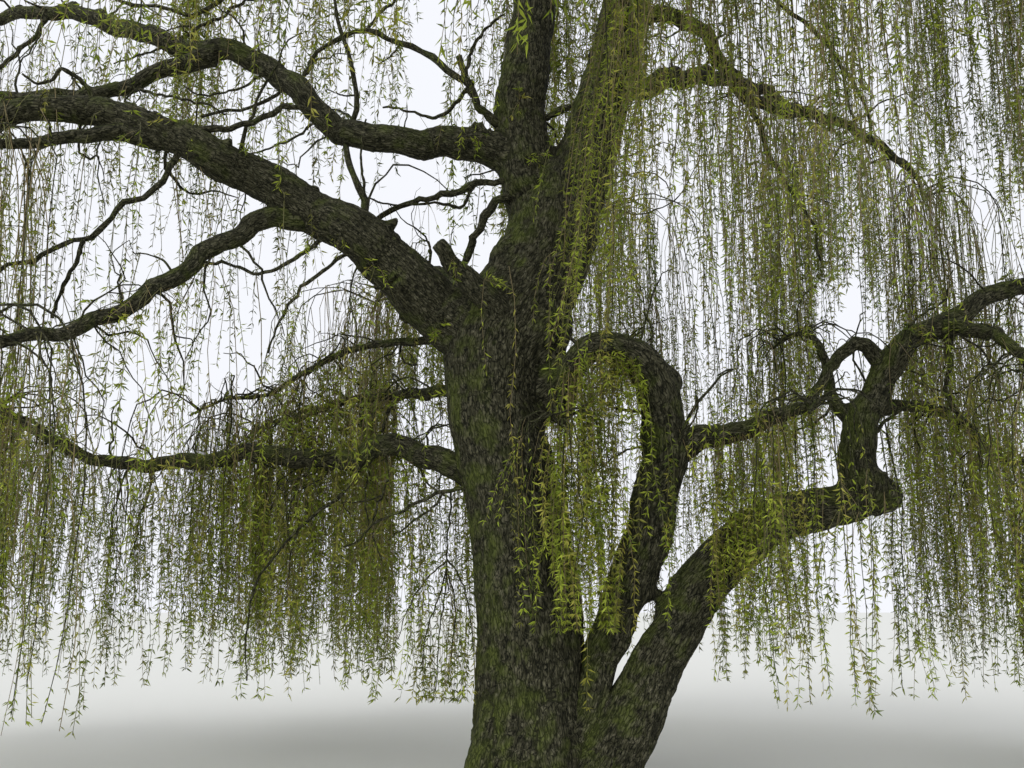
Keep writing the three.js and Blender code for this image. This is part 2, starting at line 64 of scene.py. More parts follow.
# The tree's own sizes, as its solids have them. A leg is (heading, rise, length).
trunk = {
    "from": (20, 0, -60),
    "legs": [(0, 90, 770), (180, 88, 840), (180, 82, 880), (180, 78, 930), (30, 87, 470), (5, 63, 540),
             (5, 61, 390), (0, 73, 450), (10, 86, 400), (10, 86, 150)],
    "girth": [1.1, 1.08, 1.07, 1, 0.96, 1.12, 1.08, 1.02, 0.98, 0.7, 0.4],
    "radius": 430,
    "flareReach": 150,
    "flareHeight": 420,
    "roots": 5,  # ridges that run out at the foot
}
limbs = {
    "leader_left": {"from": (110, 70, 4950), "foot": [(170, 80, 910)], "thick": 275, "thin": 100,
        "legs": [(60, 86, 900), (45, 83, 690), (125, 84, 1160), (130, 80, 1110), (-25, 86, 1010)]},
    "leader_right": {"from": (250, 65, 4850), "foot": [(0, 70, 1260)], "thick": 300, "thin": 100,
        "legs": [(-15, 78, 500), (-20, 76, 730), (-25, 77, 1090), (-15, 72, 1160), (20, 81, 1010)]},
    "great_bough": {"from": (-300, 20, 3720), "thick": 235, "thin": 90, "legs": [(-165, 41, 700),
        (-165, 36, 630), (-165, 37, 520), (-170, 31, 580), (-165, 18, 660), (-170, 30, 660),
        (-175, 11, 460), (-170, -6, 490), (-165, -14, 630)]},
    "great_spur": {"from": (-3270, -680, 5540), "thick": 70, "thin": 42, "legs": [(-160, 2, 340),
        (-140, -22, 520), (-125, -26, 520)]},
    "high_bough": {"from": (-60, 80, 5700), "thick": 135, "thin": 60, "legs": [(-170, 8, 790),
        (180, 3, 750), (170, 30, 420), (170, 48, 490), (170, 38, 540), (170, 16, 830), (165, 24, 950),
        (160, 22, 740), (155, 9, 1190)]},
    "high_fork": {"from": (-3100, 190, 6840), "thick": 78, "thin": 56, "legs": [(-175, -19, 400),
        (-170, -30, 630), (180, -6, 620), (-175, -2, 750)]},
    "mid_bough": {"from": (-1720, -360, 4850), "thick": 92, "thin": 44, "legs": [(-170, 11, 370),
        (-165, -16, 360), (-145, -39, 540), (-130, -43, 730), (-125, -35, 710), (-105, -21, 520),
        (-105, -16, 420)]},
    "low_bough": {"from": (-140, 0, 2420), "thick": 112, "thin": 42, "legs": [(170, 28, 830),
        (150, 17, 490), (155, -10, 640), (165, 8, 770), (160, -3, 930), (160, 4, 1100), (160, 22, 860),
        (155, 27, 760)]},
    "thin_bough": {"from": (-300, 20, 3880), "thick": 46, "thin": 28, "legs": [(165, 3, 960), (145, 1, 580),
        (145, -13, 730), (145, -17, 540)]},
    "back_left_bough": {"from": (-280, 40, 3420), "thick": 60, "thin": 34, "legs": [(150, 4, 880),
        (130, 5, 530), (135, 3, 890), (135, -5, 840)]},
    "broken_stub": {"from": (-160, -60, 3860), "thick": 115, "thin": 64, "legs": [(-120, 32, 490),
        (-150, 44, 380), (-145, 36, 320)]},
    "side_stem": {"from": (240, -60, -60), "foot": [(-15, 66, 760)], "thick": 232, "thin": 186,
        "legs": [(-10, 71, 480), (-10, 73, 900), (-10, 73, 590), (-12, 74, 325), (-150, 82, 360),
        (-165, 67, 310)]},
    "side_stem_arch": {"after": "side_stem", "thick": 186, "thin": 46, "legs": [(-173, 44, 340),
        (-169, 9, 260), (-146, -49, 400), (-124, -65, 310)]},
    "side_branch": {"from": (1220, -240, 2830), "thick": 96, "thin": 54, "legs": [(-15, 15, 400),
        (-25, 12, 420), (-35, 15, 360)]},
    "low_stem": {"from": (520, -200, -60), "foot": [(-10, 65, 520)], "thick": 272, "thin": 178,
        "legs": [(-5, 65, 320), (0, 61, 630), (5, 53, 650), (10, 40, 610), (10, 20, 510), (5, 10, 470)]},
    "elbow_stem": {"from": (2965, -15, 2500), "thick": 138, "thin": 70, "legs": [(150, 88, 310),
        (10, 75, 390), (5, 64, 390), (10, 48, 400), (5, 32, 610), (10, 24, 760), (5, 9, 610)]},
    "loop_arm": {"from": (3290, 35, 3600), "thick": 66, "thin": 40, "legs": [(-170, 49, 300),
        (-174, -5, 195), (-171, -52, 205), (-165, -51, 250), (-150, -46, 225)]},
    "left_arm": {"from": (3000, 0, 3070), "thick": 62, "thin": 36, "legs": [(160, 46, 280), (115, 73, 330),
        (125, 72, 370)]},
    "right_droop": {"from": (3830, 100, 4020), "thick": 64, "thin": 44, "legs": [(-60, -16, 480),
        (-75, -36, 520), (-75, -50, 320)]},
    "right_low": {"from": (3100, 20, 3230), "thick": 54, "thin": 38, "legs": [(35, 9, 770), (40, -7, 810),
        (35, -23, 790)]},
    "upper_right": {"from": (880, -60, 7180), "thick": 78, "thin": 42, "legs": [(35, 8, 1150),
        (40, -36, 820), (25, -3, 1320), (35, -11, 1250)]},
    "back_bough_left": {"from": (-230, 150, 3830), "thick": 140, "thin": 56, "legs": [(110, 35, 1500),
        (115, 25, 1600), (110, 8, 1500)]},
    "back_bough_mid": {"from": (220, 70, 5000), "thick": 140, "thin": 56, "legs": [(75, 40, 1500),
        (80, 28, 1700), (80, 10, 1400)]},
    "back_bough_right": {"from": (700, 20, 6300), "thick": 115, "thin": 54, "legs": [(45, 28, 1500),
        (50, 20, 1600), (45, 4, 1300)]},
    "left_front_bough": {"from": (0, 210, 7700), "thick": 112, "thin": 50, "legs": [(-130, 35, 1500),
        (-130, 25, 1500), (-135, 6, 1200)]},
    "front_bough": {"from": (1060, -130, 8100), "thick": 108, "thin": 50, "legs": [(-100, 30, 1400),
        (-102, 20, 1500), (-98, 4, 1200)]},
    "inner_front_bough": {"from": (850, -40, 6900), "thick": 90, "thin": 48, "legs": [(-85, 30, 900),
        (-70, 24, 800), (-60, 6, 600)]},
    "front_right_bough": {"from": (930, -90, 7400), "thick": 112, "thin": 50, "legs": [(-35, 30, 1400),
        (-40, 18, 1400), (-38, 2, 1200)]},
    "right_bough": {"from": (1220, -170, 8550), "thick": 88, "thin": 48, "legs": [(5, 25, 1100),
        (10, 15, 1000), (5, 2, 800)]},
    "left_upper_bough": {"from": (-70, 380, 8900), "thick": 88, "thin": 44, "legs": [(165, 30, 1200),
        (170, 20, 1200), (165, 2, 900)]},
    "back_upper_bough": {"from": (-100, 430, 9300), "thick": 84, "thin": 44, "legs": [(85, 30, 1100),
        (80, 18, 1100), (85, 0, 800)]},
}
# Each mass: the bough it goes on from, its stem, how wide and how low it hangs, and the solids' strand count.
# "twigs" is how many fine twigs hang in it here, "leaf" how large its leaves are beside the real ones and
# "leafy" how many of them a twig bears. "fine" gives leaves that are seen close by their full outline.
masses = table(("bough", "legs", "spread", "bottom", "count", "twigs", "leaf", "leafy", "fine"), {
    "great_foliage": ("great_bough", [(-165, -2, 500), (-165, -24, 500)], 1200, 950, 6, 110, 0.9, 0.5),
    "spur_foliage": ("great_spur", [(-145, -6, 450), (-150, -28, 400)], 900, 1250, 4, 110, 0.8, 0.5),
    "mid_foliage": ("mid_bough", [(-125, 4, 400), (-150, -18, 500)], 1000, 700, 5, 80, 0.75, 0.5),
    "high_fork_foliage": ("high_fork", [(-175, 4, 450), (180, -20, 450)], 1150, 850, 5, 110, 1.1, 0.5),
    "high_foliage": ("high_bough", [(165, 4, 450), (170, -20, 400)], 1150, 1000, 5, 120, 1.2, 0.45),
    "low_foliage": ("low_bough", [(115, 14, 450), (110, -15, 450)], 1100, 700, 5, 200, 1.05, 0.5),
    "thin_foliage": ("thin_bough", [(170, -4, 450), (175, -24, 400)], 1000, 1150, 5, 150, 1.05, 0.5),
    "back_left_foliage": ("back_left_bough", [(130, 2, 600), (135, -15, 500)], 1350, 750, 6, 200, 1.1, 0.5),
    "back_foliage_left": ("back_bough_left", [(110, 6, 600), (112, -20, 500)], 1700, 800, 6, 230, 1.15, 0.5),
    "back_foliage_mid": ("back_bough_mid", [(80, 6, 600), (78, -20, 500)], 1700, 850, 6, 220, 1.1, 0.5),
    "back_foliage_right": ("back_bough_right", [(45, 6, 600), (42, -20, 500)], 1600, 900, 7, 240, 1.1, 0.55),
    "elbow_foliage": ("elbow_stem", [(5, 4, 500), (0, -20, 450)], 1300, 750, 6, 220, 0.9, 0.7),
    "right_droop_foliage": ("right_droop", [(-65, -4, 450), (-55, -18, 450)], 1200, 850, 5, 170, 0.85, 0.7),
    "right_low_foliage": ("right_low", [(20, 0, 400), (15, -18, 450)], 1100, 650, 5, 230, 1.0, 0.65),
    "upper_right_foliage": ("upper_right", [(55, 0, 500), (60, -22, 450)], 1250, 850, 5, 256, 1.0, 0.55),
    "left_arm_foliage": ("left_arm", [(125, 28, 250), (140, -24, 300)], 700, 1500, 4, 30, 0.85, 0.8, True),
    "side_branch_foliage": ("side_branch", [(-80, 0, 350), (-120, -24, 350)], 600, 750, 5, 60, 0.85, 0.8,
        True),
    "arch_foliage": ("side_stem_arch", [(-100, -66, 150), (-80, -72, 130)], 420, 1300, 4, 10, 0.85, 0.6,
        True),
    "left_front_foliage": ("left_front_bough", [(-130, 4, 600), (-128, -18, 500)], 1700, 5150, 6, 110, 1.1,
        0.45),
    "front_foliage": ("front_bough", [(-95, 4, 600), (-92, -18, 500)], 1700, 4900, 6, 100, 1.5, 0.45),
    "inner_front_foliage": ("inner_front_bough", [(-55, 2, 450), (-50, -20, 400)], 1200, 3450, 7, 200, 0.8,
        0.55),
    "front_right_foliage": ("front_right_bough", [(-38, 4, 600), (-36, -18, 500)], 1600, 3850, 6, 240, 0.8,
        0.6),
    "right_foliage": ("right_bough", [(5, 4, 600), (0, -18, 500)], 1600, 5100, 6, 330, 0.95, 0.6),
    "left_upper_foliage": ("left_upper_bough", [(165, 4, 600), (168, -18, 500)], 1600, 6200, 6, 110, 1.3,
        0.5),
    "back_upper_foliage": ("back_upper_bough", [(82, 4, 600), (80, -18, 500)], 1600, 5900, 5, 110, 1.4, 0.5),
    "top_foliage_left": ("leader_left", [(-160, 74, 800), (175, 45, 700), (170, -6, 500)], 1700, 8300, 7,
        190, 1.5, 0.45),
    "top_foliage_right": ("leader_right", [(-30, 72, 700), (-20, 40, 700), (-20, -8, 500)], 1700, 7300, 6,
        190, 1.5, 0.45),
})


# The camera, at the photo's place, and the ways from a point of its picture to the tree and back
view = {"from": (-0.152, -9.36, 1.55), "tilt": 101.6, "lens": 36.9, "sensor": 36, "picture": (1024, 768)}
focal = view["lens"] / view["sensor"] * view["picture"][0]
middle = [side / 2 for side in view["picture"]]
lookUp = math.radians(view["tilt"] - 90)


def seen(across, down, depth):
    x, y = (across - middle[0]) / focal, (middle[1] - down) / focal
    ray = Vector((x, math.cos(lookUp) - y * math.sin(lookUp), math.sin(lookUp) + y * math.cos(lookUp)))
    return Vector(view["from"]) + ray * (depth - view["from"][1]) / ray.y


def shownAt(points):
    away = np.asarray(points) - np.array(view["from"])
    ahead = away[..., 1] * math.cos(lookUp) + away[..., 2] * math.sin(lookUp)
    up = away[..., 2] * math.cos(lookUp) - away[..., 1] * math.sin(lookUp)
    return np.stack([middle[0] + focal * away[..., 0] / ahead, middle[1] - focal * up / ahead], -1)


def direction(heading, rise):
    turn, lift = math.radians(heading), math.radians(rise)
    return Vector((math.cos(lift) * math.cos(turn), math.cos(lift) * math.sin(turn), math.sin(lift)))


def walk(start, legs):
    places = [Vector(start) * mm]
    for heading, rise, length in legs:
        places.append(places[-1] + direction(heading, rise) * length * mm)
    return places


# What goes on from a limb's tip: another limb, or a mass's stem
def following(name):
    for other, limb in limbs.items():
        if limb.get("after") == name:
            return other, limb["legs"]
    for other, mass in masses.items():
        if mass["bough"] == name:
            return other, mass["legs"]
    return None


# The corners of every limb and stem by name, and whole chains of them from a limb's root to its last tip
corners = {}
chains = {}
for name, limb in limbs.items():
    if "from" in limb:
        parts = [(name + "_foot", limb.get("foot", [])), (name, limb["legs"])]
        while following(parts[-1][0]):
            parts.append(following(parts[-1][0]))
        line = walk(limb["from"], [leg for part in parts for leg in part[1]])
        first = 0
        for part, legs in parts:
            corners[part] = line[first:first + len(legs) + 1]
            first += len(legs)
        chains[name] = {"line": line, "parts": parts}


# A limb's radius, which falls towards its tip, with the swelling where it leaves another limb
taper = {"bow": 1.3, "collar": 0.5, "collarLength": 4, "twig": 18}


def limbRadius(name, gone, whole):
    limb = limbs[name]
    thick, thin = limb["thick"] * mm, limb["thin"] * mm
    swell = 0 if "foot" in limb or "after" in limb else taper["collar"] * thick
    share = min(gone / whole, 1)
    return thin + (thick - thin) * (1 - share ** taper["bow"]) + swell * math.exp(
        -gone / (taper["collarLength"] * thick))


# A smooth line through corner points, with a point about every `gap`
def smoothLine(places, gap):
    places = [np.array(place, float) for place in places]
    marks = [0.0]
    for a, b in zip(places, places[1:]):
        marks.append(marks[-1] + max(np.linalg.norm(b - a), 1e-6))
    slopes = []
    for i in range(len(places)):
        lo, hi = max(i - 1, 0), min(i + 1, len(places) - 1)
        if lo == i or hi == i:
            slopes.append((places[hi] - places[lo]) / (marks[hi] - marks[lo]))
            continue
        before, after = marks[i] - marks[lo], marks[hi] - marks[i]
        slopes.append(((places[i] - places[lo]) / before * after + (places[hi] - places[i]) / after * before)
                      / (before + after))
    points, along = [], []
    for i in range(len(places) - 1):
        length = marks[i + 1] - marks[i]
        pieces = max(int(round(length / gap)), 1)
        for k in range(pieces + (i == len(places) - 2)):
            t = k / pieces
            ends = (2 * t ** 3 - 3 * t ** 2 + 1) * places[i] + (3 * t ** 2 - 2 * t ** 3) * places[i + 1]
            ways = (t ** 3 - 2 * t ** 2 + t) * slopes[i] + (t ** 3 - t ** 2) * slopes[i + 1]
            points.append(ends + length * ways)
            along.append(marks[i] + t * length)
    return np.array(points), np.array(along)


# The ways ahead and across at each point of a line, turning no more than the line does
def framesOf(points):
    ahead = np.gradient(points, axis=0)
    ahead /= np.linalg.norm(ahead, axis=1, keepdims=True)
    across = np.zeros_like(ahead)
    side = np.array((1.0, 0, 0)) if abs(ahead[0, 2]) > 0.9 else np.array((0, 0, 1.0))
    for i, way in enumerate(ahead):
        side = side - way * side.dot(way)
        side /= np.linalg.norm(side)
        across[i] = side
    return ahead, across


def lineOf(points, radii, along):
    ahead, across = framesOf(points)
    return {"points": points, "radii": np.array(radii), "along": along, "ahead": ahead, "across": across}


# Willow limbs never run true: a slow and a quick bend, both in keeping with the limb's thickness. A limb that
# stands in the trunk or the ground is calmer, and none bends within "still" thicknesses of its root.
wind = {"slow": 7, "quick": 3.1, "slowShare": 0.24, "quickShare": 0.13, "phase": 6.28, "calm": 0.4,
        "still": 2.5}


def wander(name, along, radii):
    draws = np.random.RandomState(sum(map(ord, name)))
    thick = limbs[name]["thick"] * mm
    calm = wind["calm"] if "foot" in limbs[name] else 1
    moved = np.zeros((len(along), 3))
    for pace, share in (("slow", "slowShare"), ("quick", "quickShare")):
        turns = 2 * np.pi * along[:, None] / (wind[pace] * thick) + draws.uniform(0, wind["phase"], 3)[None]
        moved += wind[share] * calm * np.sin(turns)
    return moved * (radii * (1 - np.exp(-along / (wind["still"] * thick))))[:, None]


# The line of a chain with its radius at every point, from its root to `reach` metres on
def chainLine(name, gap, reach=math.inf):
    chain = chains[name]
    points, along = smoothLine(chain["line"], gap)
    spans = []
    start = 0.0
    for part, legs in chain["parts"]:
        length = sum(leg[2] for leg in legs) * mm
        spans.append((part, start, start + length))
        start += length
    whole = {}
    for part, lo, hi in spans:
        own = part.removesuffix("_foot")
        whole[own] = whole.get(own, 0) + hi - lo
    radii = []
    for gone in along:
        part, lo, hi = next((span for span in spans if gone <= span[2] + 1e-6), spans[-1])
        own = part.removesuffix("_foot")
        if own in masses:
            thick = limbs[masses[own]["bough"]]["thin"] * mm
            radii.append(thick + (taper["twig"] * mm - thick) * (gone - lo) / (hi - lo))
        else:
            radii.append(limbRadius(own, gone if own == name else gone - lo, whole[own]))
    points = points + wander(name, along, np.array(radii))
    keep = along <= reach
    return lineOf(points[keep], np.array(radii)[keep], along[keep])


# The trunk's own line. Its flare at the foot is round here, and the root ridges are added to it.
def trunkLine(gap):
    points, along = smoothLine(walk(trunk["from"], trunk["legs"]), gap)
    marks = np.concatenate([[0], np.cumsum([leg[2] for leg in trunk["legs"]])]) * mm
    radii = np.interp(along, marks, trunk["girth"]) * trunk["radius"] * mm
    radii += trunk["flareReach"] * mm * np.exp(-np.maximum(points[:, 2], 0) / (trunk["flareHeight"] * mm))
    return lineOf(points, radii, along)


lineGap = 0.08  # between the points of a limb's line
limbLines = {name: chainLine(name, lineGap) for name in chains}
print("lines laid out:", len(chains), "chains")


# Leaves one object selected and active, or none
def pick(piece=None):
    bpy.ops.object.select_all(action="DESELECT")
    if piece:
        piece.select_set(True)
        bpy.context.view_layer.objects.active = piece


# Goes into edit mode on the active object, with all of it selected
def editAll():
    bpy.ops.object.mode_set(mode="EDIT")
    bpy.ops.mesh.select_all(action="SELECT")


# Back to object mode, with the object's place put into its mesh
def finishEdit():
    bpy.ops.object.mode_set(mode="OBJECT")
    bpy.ops.object.transform_apply(location=True, rotation=True, scale=True)
    return bpy.context.object


# Grows one limb by hand's steps: a filled ring at its root, then extrude, turn and resize it along the line
def growLimb(line, sides):
    points = [Vector(point) for point in line["points"]]
    ahead = [Vector(way) for way in line["ahead"]]
    pick()
    bpy.ops.mesh.primitive_circle_add(vertices=sides, radius=line["radii"][0], fill_type="NGON",
                                      location=points[0],
                                      rotation=ahead[0].to_track_quat("Z", "Y").to_euler())
    editAll()
    for i in range(1, len(points)):
        bpy.ops.mesh.extrude_region_move(TRANSFORM_OT_translate={"value": points[i] - points[i - 1]})
        axis, angle = ahead[i - 1].rotation_difference(ahead[i]).to_axis_angle()
        if angle > 1e-4:
            turned = axis.to_track_quat("Z", "Y").to_matrix()
            bpy.ops.transform.rotate(value=angle, orient_axis="Z", orient_type="GLOBAL",
                                     orient_matrix=turned, orient_matrix_type="GLOBAL",
                                     constraint_axis=(False, False, True), center_override=points[i])
        grown = line["radii"][i] / line["radii"][i - 1]
        bpy.ops.transform.resize(value=(grown, grown, grown), center_override=points[i])
    return finishEdit()


# A burl: a ball pressed a little flat, sunk into the wood beside it
def growBurl(place, radius, flat):
    pick()
    bpy.ops.mesh.primitive_ico_sphere_add(subdivisions=3, radius=radius * mm, location=Vector(place) * mm)
    editAll()
    bpy.ops.transform.resize(value=flat, center_override=Vector(place) * mm)
    return finishEdit()


def applyModifier(piece, kind, settings):
    modifier = piece.modifiers.new(kind.lower(), kind)
    for key, value in settings.items():
        setattr(modifier, key, value)
    bpy.context.view_layer.objects.active = piece
    bpy.ops.object.modifier_apply(modifier=modifier.name)


def joined(name, parts):
    pick(parts[0])
    for part in parts:
        part.select_set(True)
    bpy.ops.object.join()
    piece = bpy.context.object
    piece.name = piece.data.name = name
    return piece


# One small function for every node: its kind, its settings, and what goes into its sockets
def addNode(tree, kind, settings=None, inputs=None):
    node = tree.nodes.new(kind)
    for key, value in (settings or {}).items():
        setattr(node, key, value)
    for socket, value in (inputs or {}).items():
        if isinstance(value, bpy.types.NodeSocket):
            tree.links.new(value, node.inputs[socket])
        else:
            node.inputs[socket].default_value = value
    return node


# The bark's ridges: long cells with furrows between them, bent so that the ridges weave, and streaks that
# run through them. `cells` is how many ridges there are in a metre round the limb, and these are in ridges.
pattern = {
    "bendScale": 0.3,
    "bend": (2.2, 2.2, 5.0),  # how far the ridges weave, round the limb and along it
    "along": 0.2,             # how many ridges there are along the limb to one round it
    "furrow": 0.17,           # how far a furrow's side reaches up a ridge
    "plates": 0.72,           # how much of the height is the ridges'
    "streakScale": 1.5,
    "streaks": (1.7, -0.7),   # how much the streaks add, and what they take off
}


def barkPattern(tree, place, cells):
    bent = addNode(tree, "ShaderNodeTexNoise", {},
                   {"Vector": place, "Scale": pattern["bendScale"] * cells, "Detail": 3.0})
    centred = addNode(tree, "ShaderNodeVectorMath", {"operation": "SUBTRACT"},
                      {0: bent.outputs["Color"], 1: (0.5, 0.5, 0.5)})
    shift = addNode(tree, "ShaderNodeVectorMath", {"operation": "MULTIPLY"},
                    {0: centred.outputs[0], 1: [reach / cells for reach in pattern["bend"]]})
    moved = addNode(tree, "ShaderNodeVectorMath", {"operation": "ADD"}, {0: place, 1: shift.outputs[0]})
    drawn = addNode(tree, "ShaderNodeVectorMath", {"operation": "MULTIPLY"},
                    {0: moved.outputs[0], 1: (1, 1, pattern["along"])})
    plates = addNode(tree, "ShaderNodeTexVoronoi", {"feature": "DISTANCE_TO_EDGE"},
                     {"Vector": drawn.outputs[0], "Scale": cells, "Randomness": 1.0})
    raised = addNode(tree, "ShaderNodeMapRange", {"interpolation_type": "SMOOTHSTEP"},
                     {"Value": plates.outputs["Distance"], "From Min": 0.0, "From Max": pattern["furrow"],
                      "To Max": pattern["plates"]})
    streaks = addNode(tree, "ShaderNodeTexNoise", {},
                      {"Vector": drawn.outputs[0], "Scale": pattern["streakScale"] * cells, "Detail": 4.0,
                       "Roughness": 0.6})
    rough = addNode(tree, "ShaderNodeMath", {"operation": "MULTIPLY_ADD"},
                    {0: streaks.outputs[0], 1: pattern["streaks"][0], 2: pattern["streaks"][1]})
    return addNode(tree, "ShaderNodeMath", {"operation": "ADD", "use_clamp": True},
                   {0: raised.outputs[0], 1: rough.outputs[0]}).outputs[0]


# Geometry nodes that push each point out or in: by the bark's broad ridges, by slow swellings that grow
# with the limb's girth, and on boughs by the knots that lost twigs leave
relief = {"level": 0.6, "swellScale": 3.6, "knotScale": 2.6, "knotEdge": 0.2, "knotTop": 0.03}


def reliefTree(name, plan):
    tree = bpy.data.node_groups.new(name, "GeometryNodeTree")
    tree.interface.new_socket("Geometry", in_out="INPUT", socket_type="NodeSocketGeometry")
    tree.interface.new_socket("Geometry", in_out="OUTPUT", socket_type="NodeSocketGeometry")
    begin = addNode(tree, "NodeGroupInput")
    place = addNode(tree, "GeometryNodeInputNamedAttribute", {"data_type": "FLOAT_VECTOR"},
                    {"Name": "barkPlace"}).outputs[0]
    girth = addNode(tree, "GeometryNodeInputNamedAttribute", {"data_type": "FLOAT"},
                    {"Name": "girth"}).outputs[0]
    ridges = barkPattern(tree, place, plan["ridges"])
    depth = addNode(tree, "ShaderNodeMath", {"operation": "MULTIPLY"}, {0: girth, 1: plan["ridgeShare"]})
    shallow = addNode(tree, "ShaderNodeMath", {"operation": "MINIMUM"},
                      {0: depth.outputs[0], 1: plan["ridgeDepth"] * mm})
    middle = addNode(tree, "ShaderNodeMath", {"operation": "SUBTRACT"}, {0: ridges, 1: relief["level"]})
    cut = addNode(tree, "ShaderNodeMath", {"operation": "MULTIPLY"},
                  {0: middle.outputs[0], 1: shallow.outputs[0]})
    slow = addNode(tree, "ShaderNodeTexNoise", {},
                   {"Vector": place, "Scale": relief["swellScale"], "Detail": 2.0})
    swell = addNode(tree, "ShaderNodeMath", {"operation": "MULTIPLY_ADD"},
                    {0: slow.outputs[0], 1: plan["swell"], 2: -0.5 * plan["swell"]})
    lump = addNode(tree, "ShaderNodeMath", {"operation": "MULTIPLY"}, {0: swell.outputs[0], 1: girth})
    push = addNode(tree, "ShaderNodeMath", {"operation": "ADD"},
                   {0: cut.outputs[0], 1: lump.outputs[0]}).outputs[0]
    if plan.get("knots"):
        spots = addNode(tree, "ShaderNodeTexVoronoi", {"feature": "F1"},
                        {"Vector": place, "Scale": relief["knotScale"]})
        near = addNode(tree, "ShaderNodeMapRange", {"interpolation_type": "SMOOTHSTEP"},
                       {"Value": spots.outputs["Distance"], "From Min": relief["knotEdge"],
                        "From Max": relief["knotTop"], "To Max": plan["knots"]})
        knot = addNode(tree, "ShaderNodeMath", {"operation": "MULTIPLY_ADD"},
                       {0: near.outputs[0], 1: girth, 2: push})
        push = knot.outputs[0]
    normal = addNode(tree, "GeometryNodeInputNormal")
    offset = addNode(tree, "ShaderNodeVectorMath", {"operation": "SCALE"},
                     {0: normal.outputs[0], "Scale": push})
    moved = addNode(tree, "GeometryNodeSetPosition", {},
                    {"Geometry": begin.outputs[0], "Offset": offset.outputs[0]})
    addNode(tree, "NodeGroupOutput", {}, {0: moved.outputs[0]})
    return tree


def addAttribute(mesh, name, kind, values):
    attribute = mesh.attributes.new(name, kind, "POINT")
    attribute.data.foreach_set("vector" if kind == "FLOAT_VECTOR" else "value",
                               np.ascontiguousarray(values, np.float32).ravel())


def pointsOf(mesh, what="co"):
    values = np.empty(len(mesh.vertices) * 3, np.float32)
    mesh.vertices.foreach_get(what, values)
    return values.reshape(-1, 3)


# Lays the bark out round the lines: a point's place is on its limb's own girth and length, as if the limb
# were straight, so that the ridges run along every bend
barkApart = 3.7  # metres of the pattern between one limb and the next
batch = 4000     # how many points are worked on at a time


def layBark(mesh, lines):
    centres = np.concatenate([line["points"] for line in lines]).astype(np.float32)
    ahead = np.concatenate([line["ahead"] for line in lines])
    across = np.concatenate([line["across"] for line in lines])
    over = np.cross(ahead, across)
    radii = np.concatenate([line["radii"] for line in lines])
    along = np.concatenate([line["along"] + barkApart * i for i, line in enumerate(lines)])
    places, girths = [], []
    for part in np.array_split(pointsOf(mesh), max(len(mesh.vertices) // batch, 1)):
        nearest = (np.linalg.norm(part[:, None] - centres[None], axis=2) - radii[None]).argmin(1)
        out = part - centres[nearest]
        forth = (out * ahead[nearest]).sum(1)
        angle = np.arctan2((out * over[nearest]).sum(1), (out * across[nearest]).sum(1))
        radius = radii[nearest]
        places.append(np.stack([radius * np.cos(angle), radius * np.sin(angle), along[nearest] + forth], 1))
        girths.append(radius)
    addAttribute(mesh, "barkPlace", "FLOAT_VECTOR", np.concatenate(places))
    addAttribute(mesh, "girth", "FLOAT", np.concatenate(girths))


# Moss is laid where the wood looks up, on its left side, and near the ground
mossGrowth = {"all": 0.2, "up": 0.6, "left": 0.62, "foot": 0.25, "footHeight": 0.9}


def layMoss(mesh):
    normals = pointsOf(mesh, "normal")
    heights = pointsOf(mesh)[:, 2]
    moss = mossGrowth["all"] + mossGrowth["up"] * normals[:, 2] - mossGrowth["left"] * normals[:, 0]
    moss = moss + mossGrowth["foot"] * np.exp(-heights / mossGrowth["footHeight"])
    addAttribute(mesh, "moss", "FLOAT", np.clip(moss, 0, 1))


# An sRGB hex colour, turned to linear
def linear(code):
    shades = [int(code[i:i + 2], 16) / 255 for i in (1, 3, 5)]
    return tuple(s / 12.92 if s <= 0.04045 else ((s + 0.055) / 1.055) ** 2.4 for s in shades) + (1.0,)


def newMaterial(name):
    material = bpy.data.materials.new(name)
    material.use_nodes = True
    tree = material.node_tree
    tree.nodes.clear()
    shader = addNode(tree, "ShaderNodeBsdfPrincipled")
    addNode(tree, "ShaderNodeOutputMaterial", {}, {"Surface": shader.outputs[0]})
    return material, tree, shader


# Old willow bark: corky ridges that split lengthwise as the wood grows. The furrows are nearly black, partly
# their own darker bark and partly painted shade in the recesses, the ridges weather to an olive grey, and
# thin moss greens what stays damp.
# All these colours are darker than the real bark's: the shade that the dense crown casts on the wood is
# painted into them.
bark = {
    "furrow": "#121309",
    "ridge": "#434230",
    "worn": "#706d58",
    "mossDark": "#2d3412",
    "mossLight": "#5c6727",
    "mossShare": 0.7,
    "mossScale": 5.0,
    "mossEdge": (4.5, -2.5),   # how sharply a patch ends, and how much of the wood stays bare
    "broadHeight": (0.1, 0.7),
    "broadFloor": 0.45,        # the fine ridges' height down in a broad furrow
    "wearScale": 0.5,
    "wear": (0.46, 0.7),
    "tint": (0.1, 0.85),       # the heights between which furrow turns to ridge
    "bumpDepth": 240,  # a ridge's height, as a share of a metre over its number in a metre, in thousandths
    "roughness": 0.92,
    "shine": 0.2,
}


